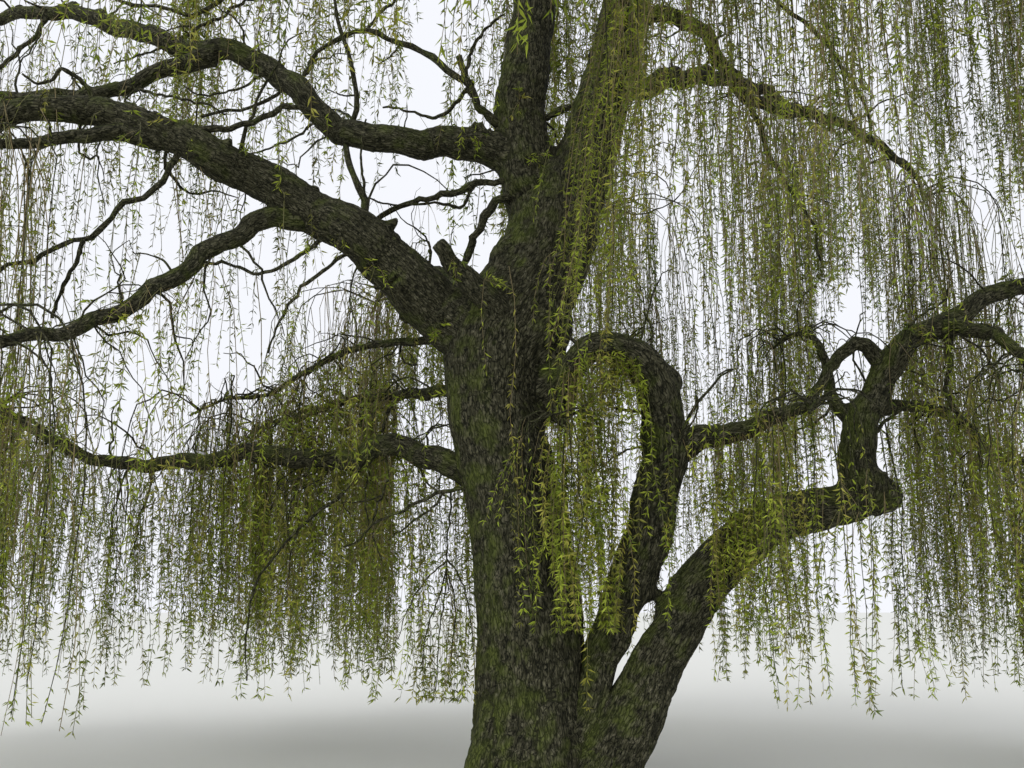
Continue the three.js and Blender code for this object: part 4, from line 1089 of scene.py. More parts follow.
# Side branches that the photo shows: the limb or branch that each springs from, its radius from root to tip,
# and its course by the picture's own points, each with how far it leans back from its root's depth
sideBranches = {
    "fork_link": ("great_bough", 34, 22, [(185, 142, 0), (200, 131, -0.05), (240, 127, 0), (266, 116, 0.05),
        (286, 107, 0.15), (312, 112, 0.3)]),
    "left_fall": ("great_bough", 32, 17, [(178, 158, 0), (160, 183, -0.1), (125, 205, -0.2),
        (83, 242, -0.3), (60, 243, -0.35), (35, 258, -0.4), (2, 272, -0.5), (-40, 287, -0.6)]),
    "left_fall_fork": ("left_fall", 21, 15, [(83, 242, 0), (75, 265, 0), (62, 290, 0.05), (52, 318, 0.1)]),
    "hook": ("great_bough", 25, 11, [(96, 118, 0), (88, 88, -0.1), (75, 75, -0.15), (62, 70, -0.2),
        (50, 82, -0.25), (35, 82, -0.3), (22, 74, -0.35)]),
    "snag": ("leader_left", 52, 33, [(505, 142, 0), (484, 112, -0.15), (468, 84, -0.2), (458, 55, -0.2)]),
    "snag_arm": ("snag", 36, 13, [(468, 86, 0), (440, 65, 0.1), (405, 45, 0.2), (362, 32, 0.3),
        (335, 42, 0.3), (312, 62, 0.3), (300, 76, 0.3), (270, 103, 0.2), (238, 112, 0.1), (200, 119, 0)]),
    "snag_arm_fork": ("snag_arm", 20, 11, [(362, 32, 0), (378, 15, 0.1), (395, 0, 0.2), (412, -25, 0.3)]),
    "snag_arm_spur": ("snag_arm", 12, 6, [(405, 47, 0), (392, 55, -0.05), (378, 65, -0.1)]),
    "snag_twig": ("snag", 21, 10, [(466, 90, 0), (455, 103, 0.1), (440, 117, 0.2), (415, 112, 0.3),
        (383, 107, 0.35)]),
    "snag_top": ("snag", 20, 12, [(468, 75, 0), (473, 48, 0.1), (485, 30, 0.1), (503, 15, 0.2)]),
    "riser": ("great_bough", 34, 15, [(362, 232, 0), (361, 205, 0.1), (354, 175, 0.2), (347, 150, 0.35),
        (347, 125, 0.45), (354, 100, 0.45), (353, 78, 0.45), (345, 50, 0.5), (338, 25, 0.5), (333, 0, 0.5),
        (326, -40, 0.5)]),
    "riser_fork": ("riser", 15, 9, [(361, 208, 0), (363, 180, 0.05), (361, 150, 0.1), (366, 118, 0.1)]),
    "riser_spur": ("riser", 10, 5, [(353, 102, 0), (341, 95, -0.05), (327, 89, -0.1)]),
    "cross_bough": ("trunk", 38, 26, [(508, 190, 0), (472, 185, -0.15), (441, 194, -0.1), (410, 203, 0),
        (382, 216, 0.1), (366, 229, 0.2)]),
    "cross_twig": ("cross_bough", 17, 8, [(480, 187, 0), (462, 206, 0.1), (435, 203, 0.15),
        (400, 206, 0.15), (364, 199, 0.15)]),
    "leaning_bough": ("trunk", 46, 38, [(510, 184, 0), (494, 204, -0.15), (479, 231, -0.15),
        (464, 264, -0.1)]),
    "high_link": ("high_bough", 28, 19, [(52, 15, 0), (28, 42, -0.05), (0, 66, -0.1), (-35, 95, -0.2)]),
    "high_spur": ("high_bough", 15, 7, [(170, 46, 0), (150, 52, -0.1), (132, 58, -0.15), (114, 64, -0.2)]),
    "high_rise": ("high_bough", 21, 12, [(170, 44, 0), (200, 28, 0.1), (225, 14, 0.15), (250, 0, 0.2),
        (275, -22, 0.25)]),
    "high_rise_spur": ("high_rise", 11, 7, [(198, 29, 0), (186, 26, -0.05), (161, 33, -0.1)]),
    "over_arm": ("leader_left", 48, 12, [(508, -70, 0), (420, -62, -0.1), (330, -35, -0.2), (240, -5, -0.3),
        (196, 8, -0.3), (163, 10, -0.3), (120, 0, -0.35), (80, -22, -0.4)]),
    "high_droop": ("high_bough", 15, 8, [(264, 76, 0), (240, 88, -0.1), (222, 93, -0.15), (203, 95, -0.15),
        (188, 89, -0.15), (172, 75, -0.15)]),
    "fork_droop": ("high_fork", 17, 9, [(128, 88, 0), (160, 95, -0.1), (190, 100, -0.15),
        (226, 114, -0.15)]),
    "high_fall": ("high_bough", 13, 7, [(315, 130, 0), (290, 140, -0.1), (262, 150, -0.15),
        (233, 162, -0.2)]),
    "mid_link": ("great_bough", 23, 12, [(337, 237, 0), (300, 255, -0.1), (255, 273, -0.15),
        (236, 266, -0.15), (205, 261, -0.1)]),
    "great_fall": ("great_bough", 21, 9, [(350, 262, 0), (326, 268, -0.1), (305, 286, -0.15),
        (284, 316, -0.2), (268, 352, -0.2)]),
    "great_hang": ("great_bough", 10, 4, [(349, 262, 0), (350, 300, -0.1), (356, 330, -0.12),
        (351, 372, -0.12)]),
    "low_left": ("low_bough", 26, 14, [(125, 463, 0), (100, 458, -0.1), (62, 441, -0.2), (32, 422, -0.25),
        (2, 406, -0.3), (-40, 392, -0.35)]),
    "under_low": ("trunk", 22, 9, [(474, 486, 0), (446, 492, -0.1), (425, 498, -0.05), (402, 512, 0),
        (378, 522, 0.1), (345, 548, 0.2)]),
    "under_low_fork": ("under_low", 13, 7, [(446, 492, 0), (430, 510, 0.1), (412, 522, 0.15),
        (388, 540, 0.2)]),
    "under_low_fall": ("under_low", 11, 5, [(449, 492, 0), (450, 520, 0.05), (447, 552, 0.1),
        (449, 590, 0.1)]),
    "low_under": ("low_bough", 15, 7, [(408, 462, 0), (424, 478, 0.15), (436, 490, 0.25), (452, 500, 0.4)]),
    "front_twig": ("trunk", 9, 4, [(575, 222, 0), (594, 226, -0.45), (572, 243, -0.5), (535, 262, -0.5),
        (487, 275, -0.5)]),
    "out_twig": ("leader_right", 10, 4, [(606, 190, 0), (640, 214, -0.2), (675, 200, -0.25),
        (697, 165, -0.25)]),
    "leader_link": ("leader_right", 40, 30, [(585, 106, 0), (566, 108, -0.05), (545, 118, 0),
        (532, 122, 0.02)]),
    "low_sweep": ("low_bough", 22, 6, [(372, 464, 0), (345, 490, -0.1), (315, 514, -0.15), (282, 547, -0.2),
        (256, 580, -0.25), (249, 613, -0.25), (247, 684, -0.25)]),
    "low_sweep_fork": ("low_sweep", 10, 4, [(300, 528, 0), (290, 560, 0.05), (286, 600, 0.05)]),
    "low_sprig": ("low_bough", 13, 6, [(322, 466, 0), (300, 478, -0.05), (277, 487, -0.1),
        (270, 510, -0.1)]),
    "low_sprig_fall": ("low_sprig", 8, 4, [(282, 486, 0), (287, 515, 0.03), (290, 545, 0.03)]),
    "low_tangle": ("low_bough", 15, 6, [(386, 462, 0), (387, 485, -0.1), (380, 500, -0.15),
        (372, 535, -0.15), (382, 560, -0.1)]),
    "low_tangle_arm": ("low_tangle", 10, 5, [(383, 494, 0), (360, 502, -0.05), (343, 503, -0.1),
        (350, 515, -0.1)]),
    "fan_left": ("under_low_fall", 8, 3, [(448, 562, 0), (428, 578, 0), (412, 600, 0.02),
        (398, 640, 0.02)]),
    "fan_mid": ("under_low_fall", 8, 3, [(449, 566, 0), (440, 595, 0), (428, 625, 0.02), (422, 665, 0.02)]),
    "fan_down": ("under_low_fall", 8, 3, [(449, 570, 0), (455, 605, 0), (452, 645, 0.02),
        (448, 685, 0.02)]),
    "fan_right": ("under_low_fall", 8, 3, [(449, 560, 0), (462, 582, -0.05), (470, 615, -0.1),
        (474, 660, -0.1)]),
    "fan_inner": ("under_low_fall", 7, 3, [(449, 575, 0), (442, 610, 0), (438, 650, 0.02),
        (436, 690, 0.02)]),
    "right_second": ("upper_right", 34, 13, [(742, 98, 0), (757, 122, -0.05), (768, 150, -0.1),
        (790, 190, -0.15), (812, 222, -0.2), (822, 262, -0.2)]),
    "right_second_fork": ("right_second", 14, 7, [(790, 190, 0), (808, 196, 0.05), (828, 202, 0.1)]),
    "right_prong": ("upper_right", 14, 7, [(800, 106, 0), (825, 96, 0.1), (856, 85, 0.2)]),
    "right_prong_low": ("upper_right", 13, 7, [(806, 108, 0), (832, 104, 0.1), (856, 106, 0.2)]),
    "right_high": ("right_bough", 34, 12, [(755, -40, 0), (772, 0, -0.2), (808, 25, -0.3), (840, 64, -0.35),
        (862, 101, -0.4), (880, 150, -0.4)]),
    "right_high_fork": ("right_high", 16, 7, [(840, 64, 0), (850, 110, 0.05), (872, 160, 0.1)]),
    "back_link": ("back_left_bough", 22, 15, [(402, 396, 0), (388, 411, -0.1), (382, 432, -0.2)]),
    "trunk_spur": ("trunk", 11, 6, [(462, 420, 0), (430, 430, 0.15), (406, 444, 0.3), (380, 462, 0.4)]),
    "stem_spur": ("side_stem", 12, 5, [(648, 443, 0), (628, 450, 0.1), (598, 470, 0.15), (575, 482, 0.2)]),
    "arch_twig": ("side_stem_arch", 9, 3, [(625, 341, 0), (641, 332, -0.05), (672, 317, -0.05)]),
    "arch_twig_low": ("side_stem_arch", 8, 4, [(628, 342, 0), (641, 350, -0.05), (660, 354, -0.05)]),
    "elbow_twig": ("elbow_stem", 15, 6, [(899, 352, 0), (905, 332, -0.1), (920, 315, -0.15),
        (941, 303, -0.15), (952, 270, -0.2)]),
    "elbow_fall": ("elbow_stem", 26, 12, [(957, 326, 0), (950, 358, -0.15), (947, 395, -0.2),
        (957, 412, -0.2), (975, 430, -0.2), (980, 470, -0.2)]),
    "elbow_arch": ("elbow_stem", 26, 13, [(948, 330, 0), (985, 326, 0.1), (1014, 350, 0.15),
        (1032, 384, 0.2), (1042, 430, 0.2)]),
    "elbow_low": ("elbow_stem", 18, 9, [(858, 450, 0), (885, 422, 0.1), (915, 405, 0.2), (950, 410, 0.3),
        (985, 440, 0.35)]),
    "left_arm_twig": ("left_arm", 16, 7, [(840, 400, 0), (822, 418, -0.1), (800, 428, -0.15),
        (770, 432, -0.2)]),
}
branchPoints = 26
gnarls = {"bend": 0.22, "most": 0.6, "smooth": 1.6, "uneven": 0.1}  # bends in steps, at most in thicknesses
seeds = {"gnarls": 77, "wild": 4100, "masses": 500, "streams": 9100, "sparse": 8800}

# The line that carries the name: a limb's, the trunk's, or another side branch's
carriers = {name: line["points"] for name, line in limbLines.items()}
carriers["trunk"] = trunkLine(lineGap)["points"]
carriers["side_stem_arch"] = carriers["side_stem"]
handPaths, handRadii = [], []
gnarl = np.random.RandomState(seeds["gnarls"])
for name, (carrier, thick, thin, course) in sideBranches.items():
    shown = shownAt(carriers[carrier])
    root = carriers[carrier][np.linalg.norm(shown - np.array(course[0][:2]), axis=1).argmin()]
    corner = [Vector(root)] + [seen(px, py, root[1] + back) for px, py, back in course[1:]]
    path = spaced(smoothLine(corner, 0.05)[0], branchPoints)
    step = np.linalg.norm(path[1] - path[0])
    most = min(gnarls["bend"] * step, gnarls["most"] * thick * mm)
    bend = gnarl.normal(size=(branchPoints, 3)) * most
    bend[:2] = 0
    path += (bend + np.roll(bend, 1, axis=0)) / gnarls["smooth"]
    carriers[name] = path
    handPaths.append(path)
    handRadii.append(np.linspace(1, thin / thick, branchPoints) * thick * mm
                     * (1 + gnarls["uneven"] * gnarl.normal(size=branchPoints)))
handPaths, handRadii = np.array(handPaths), np.array(handRadii)


# Gnarled branches that spring all along a limb: they set out sideways and up, wind, and droop at last
wild = {
    "gap": 0.42, "from": (0.9, 1.6), "stout": 200,  # metres from the root on, the second on a stout limb
    "end": 0.5, "low": 2.3,           # none nearer to the limb's end, or lower
    "length": (0.5, 1.5), "longer": (0.75, 2),      # and how both grow with the limb's radius
    "thick": (9, 17), "thicker": (0.75, 3), "most": 0.03,
    "ahead": 0.5, "up": 0.35,         # how they set out
    "points": 12, "turn": 0.3, "lift": 0.16, "sag": 0.034, "tip": 0.28, "uneven": 0.08,
    "floor": 0.8, "rooted": 4,        # the lowest they may reach, and the points that may be in the limb
    "forks": 0.8, "forkFrom": (0.25, 0.75), "forkUp": 0.1, "forkLength": (0.3, 0.8), "forkThick": 0.5,
}


def wildBranches(roots, ways, lengths, radii, rng, sag=wild["sag"]):
    count, steps = len(roots), wild["points"]
    paths = np.empty((count, steps, 3))
    paths[:, 0] = roots
    way = ways / np.linalg.norm(ways, axis=1, keepdims=True)
    for i in range(1, steps):
        way = way + rng.normal(size=way.shape) * wild["turn"]
        way[:, 2] += wild["lift"] - sag * i
        way /= np.linalg.norm(way, axis=1, keepdims=True)
        paths[:, i] = paths[:, i - 1] + way * (lengths / (steps - 1))[:, None]
    girths = radii[:, None] * np.linspace(1, wild["tip"], steps)[None]
    girths = girths * (1 + wild["uneven"] * rng.normal(size=(count, steps)))
    good = inBox(paths, 0.1).all(1) & (paths[..., 2] > wild["floor"]).all(1)
    good &= clearPaths(paths, -0.03, wild["rooted"])
    return paths[good], girths[good]


wildRng = np.random.RandomState(seeds["wild"])
roots, ways, lengths, radii = [], [], [], []
for name, line in limbLines.items():
    gone = wild["from"][0 if limbs[name]["thick"] < wild["stout"] else 1]
    while gone < line["along"][-1] - wild["end"]:
        i = int(np.searchsorted(line["along"], gone))
        turn = wildRng.uniform(0, 2 * np.pi)
        out = np.cos(turn) * line["across"][i] + np.sin(turn) * np.cross(line["ahead"][i], line["across"][i])
        if line["points"][i, 2] > wild["low"]:
            longer, thicker = (least + more * line["radii"][i]
                               for least, more in (wild["longer"], wild["thicker"]))
            roots.append(line["points"][i])
            ways.append(out + wild["ahead"] * line["ahead"][i] + np.array((0, 0, wild["up"])))
            lengths.append(wildRng.uniform(*wild["length"]) * longer)
            radii.append(min(wildRng.uniform(*wild["thick"]) * mm * thicker, wild["most"]))
        gone += wildRng.uniform(0.5, 1.5) * wild["gap"]
wildPaths, wildRadii = wildBranches(np.array(roots), np.array(ways), np.array(lengths), np.array(radii),
                                    wildRng)
picks = wildRng.randint(0, len(wildPaths), int(wild["forks"] * len(wildPaths)))
forkRoots = along(wildPaths, picks, wildRng.uniform(*wild["forkFrom"], len(picks)))
forkWays = wildRng.normal(size=(len(picks), 3)) + np.array((0, 0, wild["forkUp"]))
forkPaths, forkRadii = wildBranches(forkRoots, forkWays, wildRng.uniform(*wild["forkLength"], len(picks)),
                                    wild["forkThick"] * wildRadii[picks, 0], wildRng)
wildPaths, wildRadii = np.concatenate([wildPaths, forkPaths]), np.concatenate([wildRadii, forkRadii])

# Bare, tangled ones that hang under the lower boughs
tangles = {"low_bough": 46, "back_left_bough": 22, "thin_bough": 16, "elbow_stem": 14, "right_droop": 8,
           "right_low": 10, "great_bough": 12, "mid_bough": 8}
tangle = {"ends": (0.5, 0.8), "way": (0, 0.2, -0.7), "thick": (0.006, 0.013), "length": (0.5, 1.5),
          "floor": 0.9, "sag": 0.06}
for name, count in tangles.items():
    line = limbLines[name]
    stops = wildRng.uniform(tangle["ends"][0], line["along"][-1] - tangle["ends"][1], count)
    feet = placesAt(line["points"], line["along"], stops)
    ways = wildRng.normal(size=(count, 3)) + np.array(tangle["way"])
    girths = wildRng.uniform(*tangle["thick"], count)
    spans = np.minimum(wildRng.uniform(*tangle["length"], count), feet[:, 2] - tangle["floor"])
    hung = wildBranches(feet, ways, spans, girths, wildRng, tangle["sag"])
    wildPaths, wildRadii = np.concatenate([wildPaths, hung[0]]), np.concatenate([wildRadii, hung[1]])
print("side branches:", len(handPaths), "placed,", len(wildPaths), "grown")

foliage = {
    "branchlets": 15,               # arching branchlets in a mass, the solids' own strands first
    "branchletArch": (0.72, 0.14),  # where it rounds its shoulder, as shares of the legs beside it
    "branchletSteps": (8, 7),       # points over the arch and below it
    "branchletBend": 1.3,           # how far the arch goes, as a share of its legs
    "branchletRadius": (10, 2.2),
    "branchletGirths": (0.7, 1.15),
    "branchletWobble": 0.016,
    "spares": 3,                    # twigs that are tried for each one that is wanted
    "twigsFrom": (0.05, 0.86),      # along a branchlet
    "twigReach": (40, 330),         # how far a twig swings out from its branchlet
    "twigFall": (0.7, 1.5),         # how high above their mass's bottom twigs may end, and how few end high
    "twigShortest": 0.35,
    "twigRadius": (4.3, 2.2),
    "twigGirth": (2, 0.6, 1.2),     # the length with this radius, and its least and most shares
    "twigShort": 1.4,               # up to this length a twig has fewer points
    "twigPoints": 7,
    "shortPoints": 5,               # the same for short twigs
    "twigCloser": 1.25,             # how much closer together a twig's points lie at its root
    "twigSwing": (0.9, 0.02),
    "twigRise": (0.3, 0.5),         # how high a twig starts, and how soon, in reaches
    "sway": 0.045,                  # how far a twig waves about its fall
    "swayMost": 0.8,
    "waves": (3.6, 2.9),
    "slant": 0.035,                 # and how much it leans, for each metre that it falls
    "leafGap": 56,                  # between leaf nodes along a twig
    "leavesAtNode": 2.6,
    "leavesLow": 0.72,              # below 1 puts more of them towards the tips
    "leafLean": (20, 85),           # degrees off the twig
    "leafLength": (50, 88),
    "leafWidth": 0.19,              # of its length
    "sprayTwigs": 3,                # in the place of each spray of the solids
    "sprayWide": 0.07, "sprayArch": 0.1, "sprayLeafy": 1.2,
    "bareTop": 0.12,                # the share of a twig that bears no leaf
    "endBare": 0.05,                # and of a branchlet's end and a spray
    "streamBare": 0.08,
    "boughTwigs": 1700,             # sparse twigs that hang from the boughs and side branches
    "tufts": 150,                   # short leafy shoots straight from the trunk and boughs
}
tones = {  # leaf colours, and how often a twig has each
    "leaves_spring": ("#6f8020", "#a2b139", 0.2),
    "leaves_fresh": ("#7f8f25", "#b2bd45", 0.2),
    "leaves_olive": ("#5e691f", "#868f31", 0.2),
    "leaves_gold": ("#85842f", "#b0ac4f", 0.15),
    "leaves_deep": ("#4e5e1a", "#74822d", 0.13),
    "leaves_dull": ("#686b2a", "#8d8d3f", 0.12),
}
skins = {
    "twigs_tan": ("#6d6040", "#94845a", 0.5),
    "twigs_olive": ("#57562f", "#7b7845", 0.5),
}
leafHeaps = {name: newHeap() for name in tones}
skinHeaps = {name: newHeap() for name in skins}
branchHeap = newHeap()
heapUp(branchHeap, *tubes(handPaths, handRadii, 8))
heapUp(branchHeap, *tubes(wildPaths, wildRadii, 5))

leafFine = {"points": np.array([(0, 0, 0), (0.3, 0.5, 0.07), (0.3, -0.5, 0.07), (0.68, 0.34, 0.03),
                                (0.68, -0.34, 0.03), (1, 0, -0.1)]),
            "faces": [np.array([(1, 2, 4, 3)]), np.array([(0, 2, 1), (3, 4, 5)])]}
leafPlain = {"points": np.array([(0, 0, 0), (0.38, 0.5, 0.06), (0.38, -0.5, 0.06), (1, 0, -0.06)]),
             "faces": [np.array([(0, 2, 3), (0, 3, 1)])]}


# Hanging twigs from their roots: they swing out a little, bend over and fall, waving slightly
def hanging(roots, headings, reaches, lengths, rng, lean=(0, 0), points="twigPoints"):
    t = np.linspace(0, 1, foliage[points]) ** foliage["twigCloser"]
    swing, high = foliage["twigSwing"], foliage["twigRise"]
    fall = lengths[:, None] * t
    out = reaches[:, None] * (1 - np.exp(-fall / (swing[0] * reaches[:, None] + swing[1])))
    rise = high[0] * reaches[:, None] * np.exp(-(fall / (high[1] * reaches[:, None]) - 1) ** 2)
    phase = rng.uniform(0, 2 * np.pi, (len(roots), 2))
    sway = foliage["sway"] * np.minimum(fall, foliage["swayMost"])[..., None] * np.stack(
        [np.sin(foliage["waves"][i] * fall + phase[:, i, None]) for i in range(2)], 2)
    sway += fall[..., None] * rng.normal(size=(len(roots), 1, 2)) * foliage["slant"]
    paths = np.empty(fall.shape + (3,))
    paths[..., 0] = roots[:, 0, None] + np.cos(headings)[:, None] * out + sway[..., 0] + lean[0] * fall
    paths[..., 1] = roots[:, 1, None] + np.sin(headings)[:, None] * out + sway[..., 1] + lean[1] * fall
    paths[..., 2] = roots[:, 2, None] - fall + rise
    return paths


# Leaves in bunches along the twigs, more of them towards the tips, pointing out and down
def leavesOn(paths, lengths, bareTop, density, size, template, rng):
    nodes = np.maximum((lengths / (foliage["leafGap"] * mm)).astype(int), 2)
    counts = rng.poisson(nodes * foliage["leavesAtNode"] * density * (1 - bareTop))
    picks = np.repeat(np.arange(len(paths)), counts)
    shares = bareTop + (1 - bareTop) * rng.random(len(picks)) ** foliage["leavesLow"]
    shares = (np.floor(shares * nodes[picks]) + rng.uniform(0.4, 0.6, len(picks))) / nodes[picks]
    shares = np.clip(shares, 0, 1) ** (1 / foliage["twigCloser"])
    feet = along(paths, picks, shares)
    down = along(paths, picks, np.minimum(shares + 0.08, 1)) - along(paths, picks, shares - 0.08)
    down /= np.linalg.norm(down, axis=1, keepdims=True) + 1e-9
    turn = rng.uniform(0, 2 * np.pi, len(picks))
    flat = np.stack([np.cos(turn), np.sin(turn), np.zeros(len(picks))], 1)
    flat -= down * (flat * down).sum(1, keepdims=True)
    lean = np.radians(rng.uniform(*foliage["leafLean"], len(picks)))[:, None]
    way = down * np.cos(lean) + flat * np.sin(lean)
    way /= np.linalg.norm(way, axis=1, keepdims=True)
    face = rng.normal(size=(len(picks), 3))
    across = np.cross(way, face)
    across /= np.linalg.norm(across, axis=1, keepdims=True)
    over = np.cross(way, across)
    length = rng.uniform(*foliage["leafLength"], len(picks))[:, None, None] * mm * size
    shape = template["points"][None]
    points = feet[:, None] + length * (shape[..., :1] * way[:, None] + foliage["leafWidth"] * (
        shape[..., 1:2] * across[:, None]) + shape[..., 2:3] * over[:, None])
    starts = np.arange(len(picks))[:, None, None] * len(template["points"])
    faces = [(starts + part[None]).reshape(-1, part.shape[1]) for part in template["faces"]]
    return points.reshape(-1, 3), faces


# Deals paths out to named kinds, each with its share
def dealt(kinds, count, rng):
    names = list(kinds)
    shares = np.array([kinds[name][2] for name in names])
    drawn = rng.choice(len(names), count, p=shares / shares.sum())
    return [(name, drawn == i) for i, name in enumerate(names)]


def dealTwigs(paths, lengths, rng):
    usual, least, most = foliage["twigGirth"]
    widths = np.linspace(*foliage["twigRadius"], paths.shape[1])[None] * mm * np.clip(
        lengths[:, None] / usual, least, most)
    every = list(range(paths.shape[1]))
    coarse = [0, 1, 2, 4, 6] if len(every) == 7 else every
    short = lengths <= foliage["twigShort"]
    for name, mine in dealt(skins, len(paths), rng):
        for some, steps in ((mine & ~short, every), (mine & short, coarse)):
            if some.any():
                points, faces, _ = tubes(paths[some][:, steps], widths[some][:, steps], 3)
                heapUp(skinHeaps[name], points, faces)


def dealLeaves(paths, lengths, bareTop, density, size, template, rng):
    for name, mine in dealt(tones, len(paths), rng):
        if mine.any():
            leaves = leavesOn(paths[mine], lengths[mine], bareTop, density, size, template, rng)
            heapUp(leafHeaps[name], *leaves)


# Where the photo shows open sky between the limbs, in its picture's points: from and to across, from and to
# down, and the share of the twigs that still hang there
skyWindows = [(786, 886, 421, 530, 0.1), (816, 884, 267, 345, 0.15), (832, 874, 345, 421, 0.15),
              (602, 646, 384, 476, 0.2), (400, 455, 384, 448, 0.25)]
sky = {"steps": 25, "ragged": 0.14, "shortest": 0.3}


# Twigs end where they would hang across an open window, some a little sooner or later
def openSky(paths, lengths, rng):
    picks = np.repeat(np.arange(len(paths)), sky["steps"])
    shares = np.tile(np.linspace(0, 1, sky["steps"]), len(paths))
    shown = shownAt(along(paths, picks, shares)).reshape(len(paths), sky["steps"], 2)
    kept = np.ones(len(paths))
    for left, right, top, bottom, share in skyWindows:
        inside = (shown[..., 0] > left) & (shown[..., 0] < right)
        inside &= (shown[..., 1] > top) & (shown[..., 1] < bottom)
        hit = inside.any(1) & (rng.random(len(paths)) > share)
        kept[hit] = np.minimum(kept[hit], inside[hit].argmax(1) / (sky["steps"] - 1))
    cut = kept < 1
    kept[cut] += sky["ragged"] * rng.normal(size=cut.sum()) / lengths[cut]
    kept = np.clip(kept, 0, 1)
    picks = np.repeat(np.arange(len(paths)), paths.shape[1])
    shares = (kept[:, None] * np.linspace(0, 1, paths.shape[1])).ravel()
    lengths = lengths * kept ** foliage["twigCloser"]
    good = lengths > np.where(cut, sky["shortest"], 0)
    return along(paths, picks, shares).reshape(paths.shape)[good], lengths[good]


def growMass(name, number):
    mass = masses[name]
    draw = seeded(rule["seeds"][0] + rule["seeds"][1] * number)
    rng = np.random.RandomState(seeds["masses"] + number)
    lines, sprays = [], []
    for k in range(rule["tries"]):
        if len(lines) == foliage["branchlets"]:
            break
        line = strandLine(name, k, draw)
        pair = sprayLines(line, draw)
        if clearLine(name, line):
            lines.append(line)
            if len(lines) <= mass["count"]:
                sprays += pair
    # the branchlets themselves: over their crest in close steps, then down in longer ones
    (overShare, underShare), (overSteps, underSteps) = foliage["branchletArch"], foliage["branchletSteps"]
    paths = []
    for line in lines:
        root, crest, shoulder, foot = (np.array(p) for p in line)
        over = crest + overShare * (shoulder - crest)
        under = shoulder + underShare * (foot - shoulder)
        points, _ = smoothLine([root, crest, over, under, foot], 0.02)
        marks = marksOf(points)
        bend = foliage["branchletBend"] * (np.linalg.norm(crest - root) + np.linalg.norm(shoulder - crest))
        stops = np.concatenate([np.linspace(0, bend, overSteps)[:-1],
                                np.linspace(bend, marks[-1], underSteps)])
        paths.append(placesAt(points, marks, stops))
    paths = np.array(paths)
    wobble = rng.normal(size=paths.shape) * foliage["branchletWobble"]
    wobble[:, 0] = 0
    paths += wobble
    girths = rng.uniform(*foliage["branchletGirths"], (len(paths), 1))
    widths = np.linspace(*foliage["branchletRadius"], paths.shape[1])[None] * mm * girths
    heapUp(branchHeap, *tubes(paths, widths, 4))
    # fine twigs from all along them
    wanted, (high, fewer) = mass["twigs"], foliage["twigFall"]
    picks = rng.randint(0, len(paths), wanted * foliage["spares"])
    origins = along(paths, picks, rng.uniform(*foliage["twigsFrom"], len(picks)))
    headings = rng.uniform(0, 2 * np.pi, len(picks))
    reaches = rng.uniform(*foliage["twigReach"], len(picks)) * mm * rng.uniform(0.4, 1, len(picks))
    bottom = mass["bottom"] * mm
    lengths = origins[:, 2] - (bottom + (origins[:, 2] - bottom) * high * rng.random(len(picks)) ** fewer)
    keep = lengths > foliage["twigShortest"]
    origins, headings, reaches, lengths = origins[keep], headings[keep], reaches[keep], lengths[keep]
    twigs = hanging(origins, headings, reaches, lengths, rng)
    good = inSpace(name, twigs).all(1) & inBox(twigs).all(1) & clearPaths(twigs, 0.005, 2)
    twigs, lengths = openSky(twigs[good][:wanted], lengths[good][:wanted], rng)
    template = leafFine if mass.get("fine") else leafPlain
    size, density = mass["leaf"], mass["leafy"]
    dealTwigs(twigs, lengths, rng)
    dealLeaves(twigs, lengths, foliage["bareTop"], density, size, template, rng)
    # the branchlets' own hanging ends bear leaves as well
    ends = paths[:, overSteps - 2:]
    dealLeaves(ends, np.linalg.norm(np.diff(ends, axis=1), axis=2).sum(1), foliage["endBare"], density,
               size, template, rng)
    # each of the solids' sprays stands for a bunch of leafy side twigs
    count = foliage["sprayTwigs"]
    for root, tip in sprays:
        starts = np.repeat(np.array(root)[None], count, 0)
        tips = np.array(tip) + rng.normal(size=(count, 3)) * foliage["sprayWide"]
        t = np.linspace(0, 1, foliage["twigPoints"])[None, :, None]
        bunch = starts[:, None] + (tips - starts)[:, None] * t
        bunch[..., 2] += foliage["sprayArch"] * np.sin(np.pi * t[..., 0])
        if inSpace(name, bunch).all() and inBox(bunch).all() and clearPaths(bunch, 0.01, 0).all():
            spans = np.full(count, rule["spray"])
            dealTwigs(bunch, spans, rng)
            dealLeaves(bunch, spans, foliage["endBare"], foliage["sprayLeafy"] * density, size, template,
                       rng)
    print(name, len(lines), "branchlets,", len(twigs), "twigs")


for number, name in enumerate(masses):
    growMass(name, number)

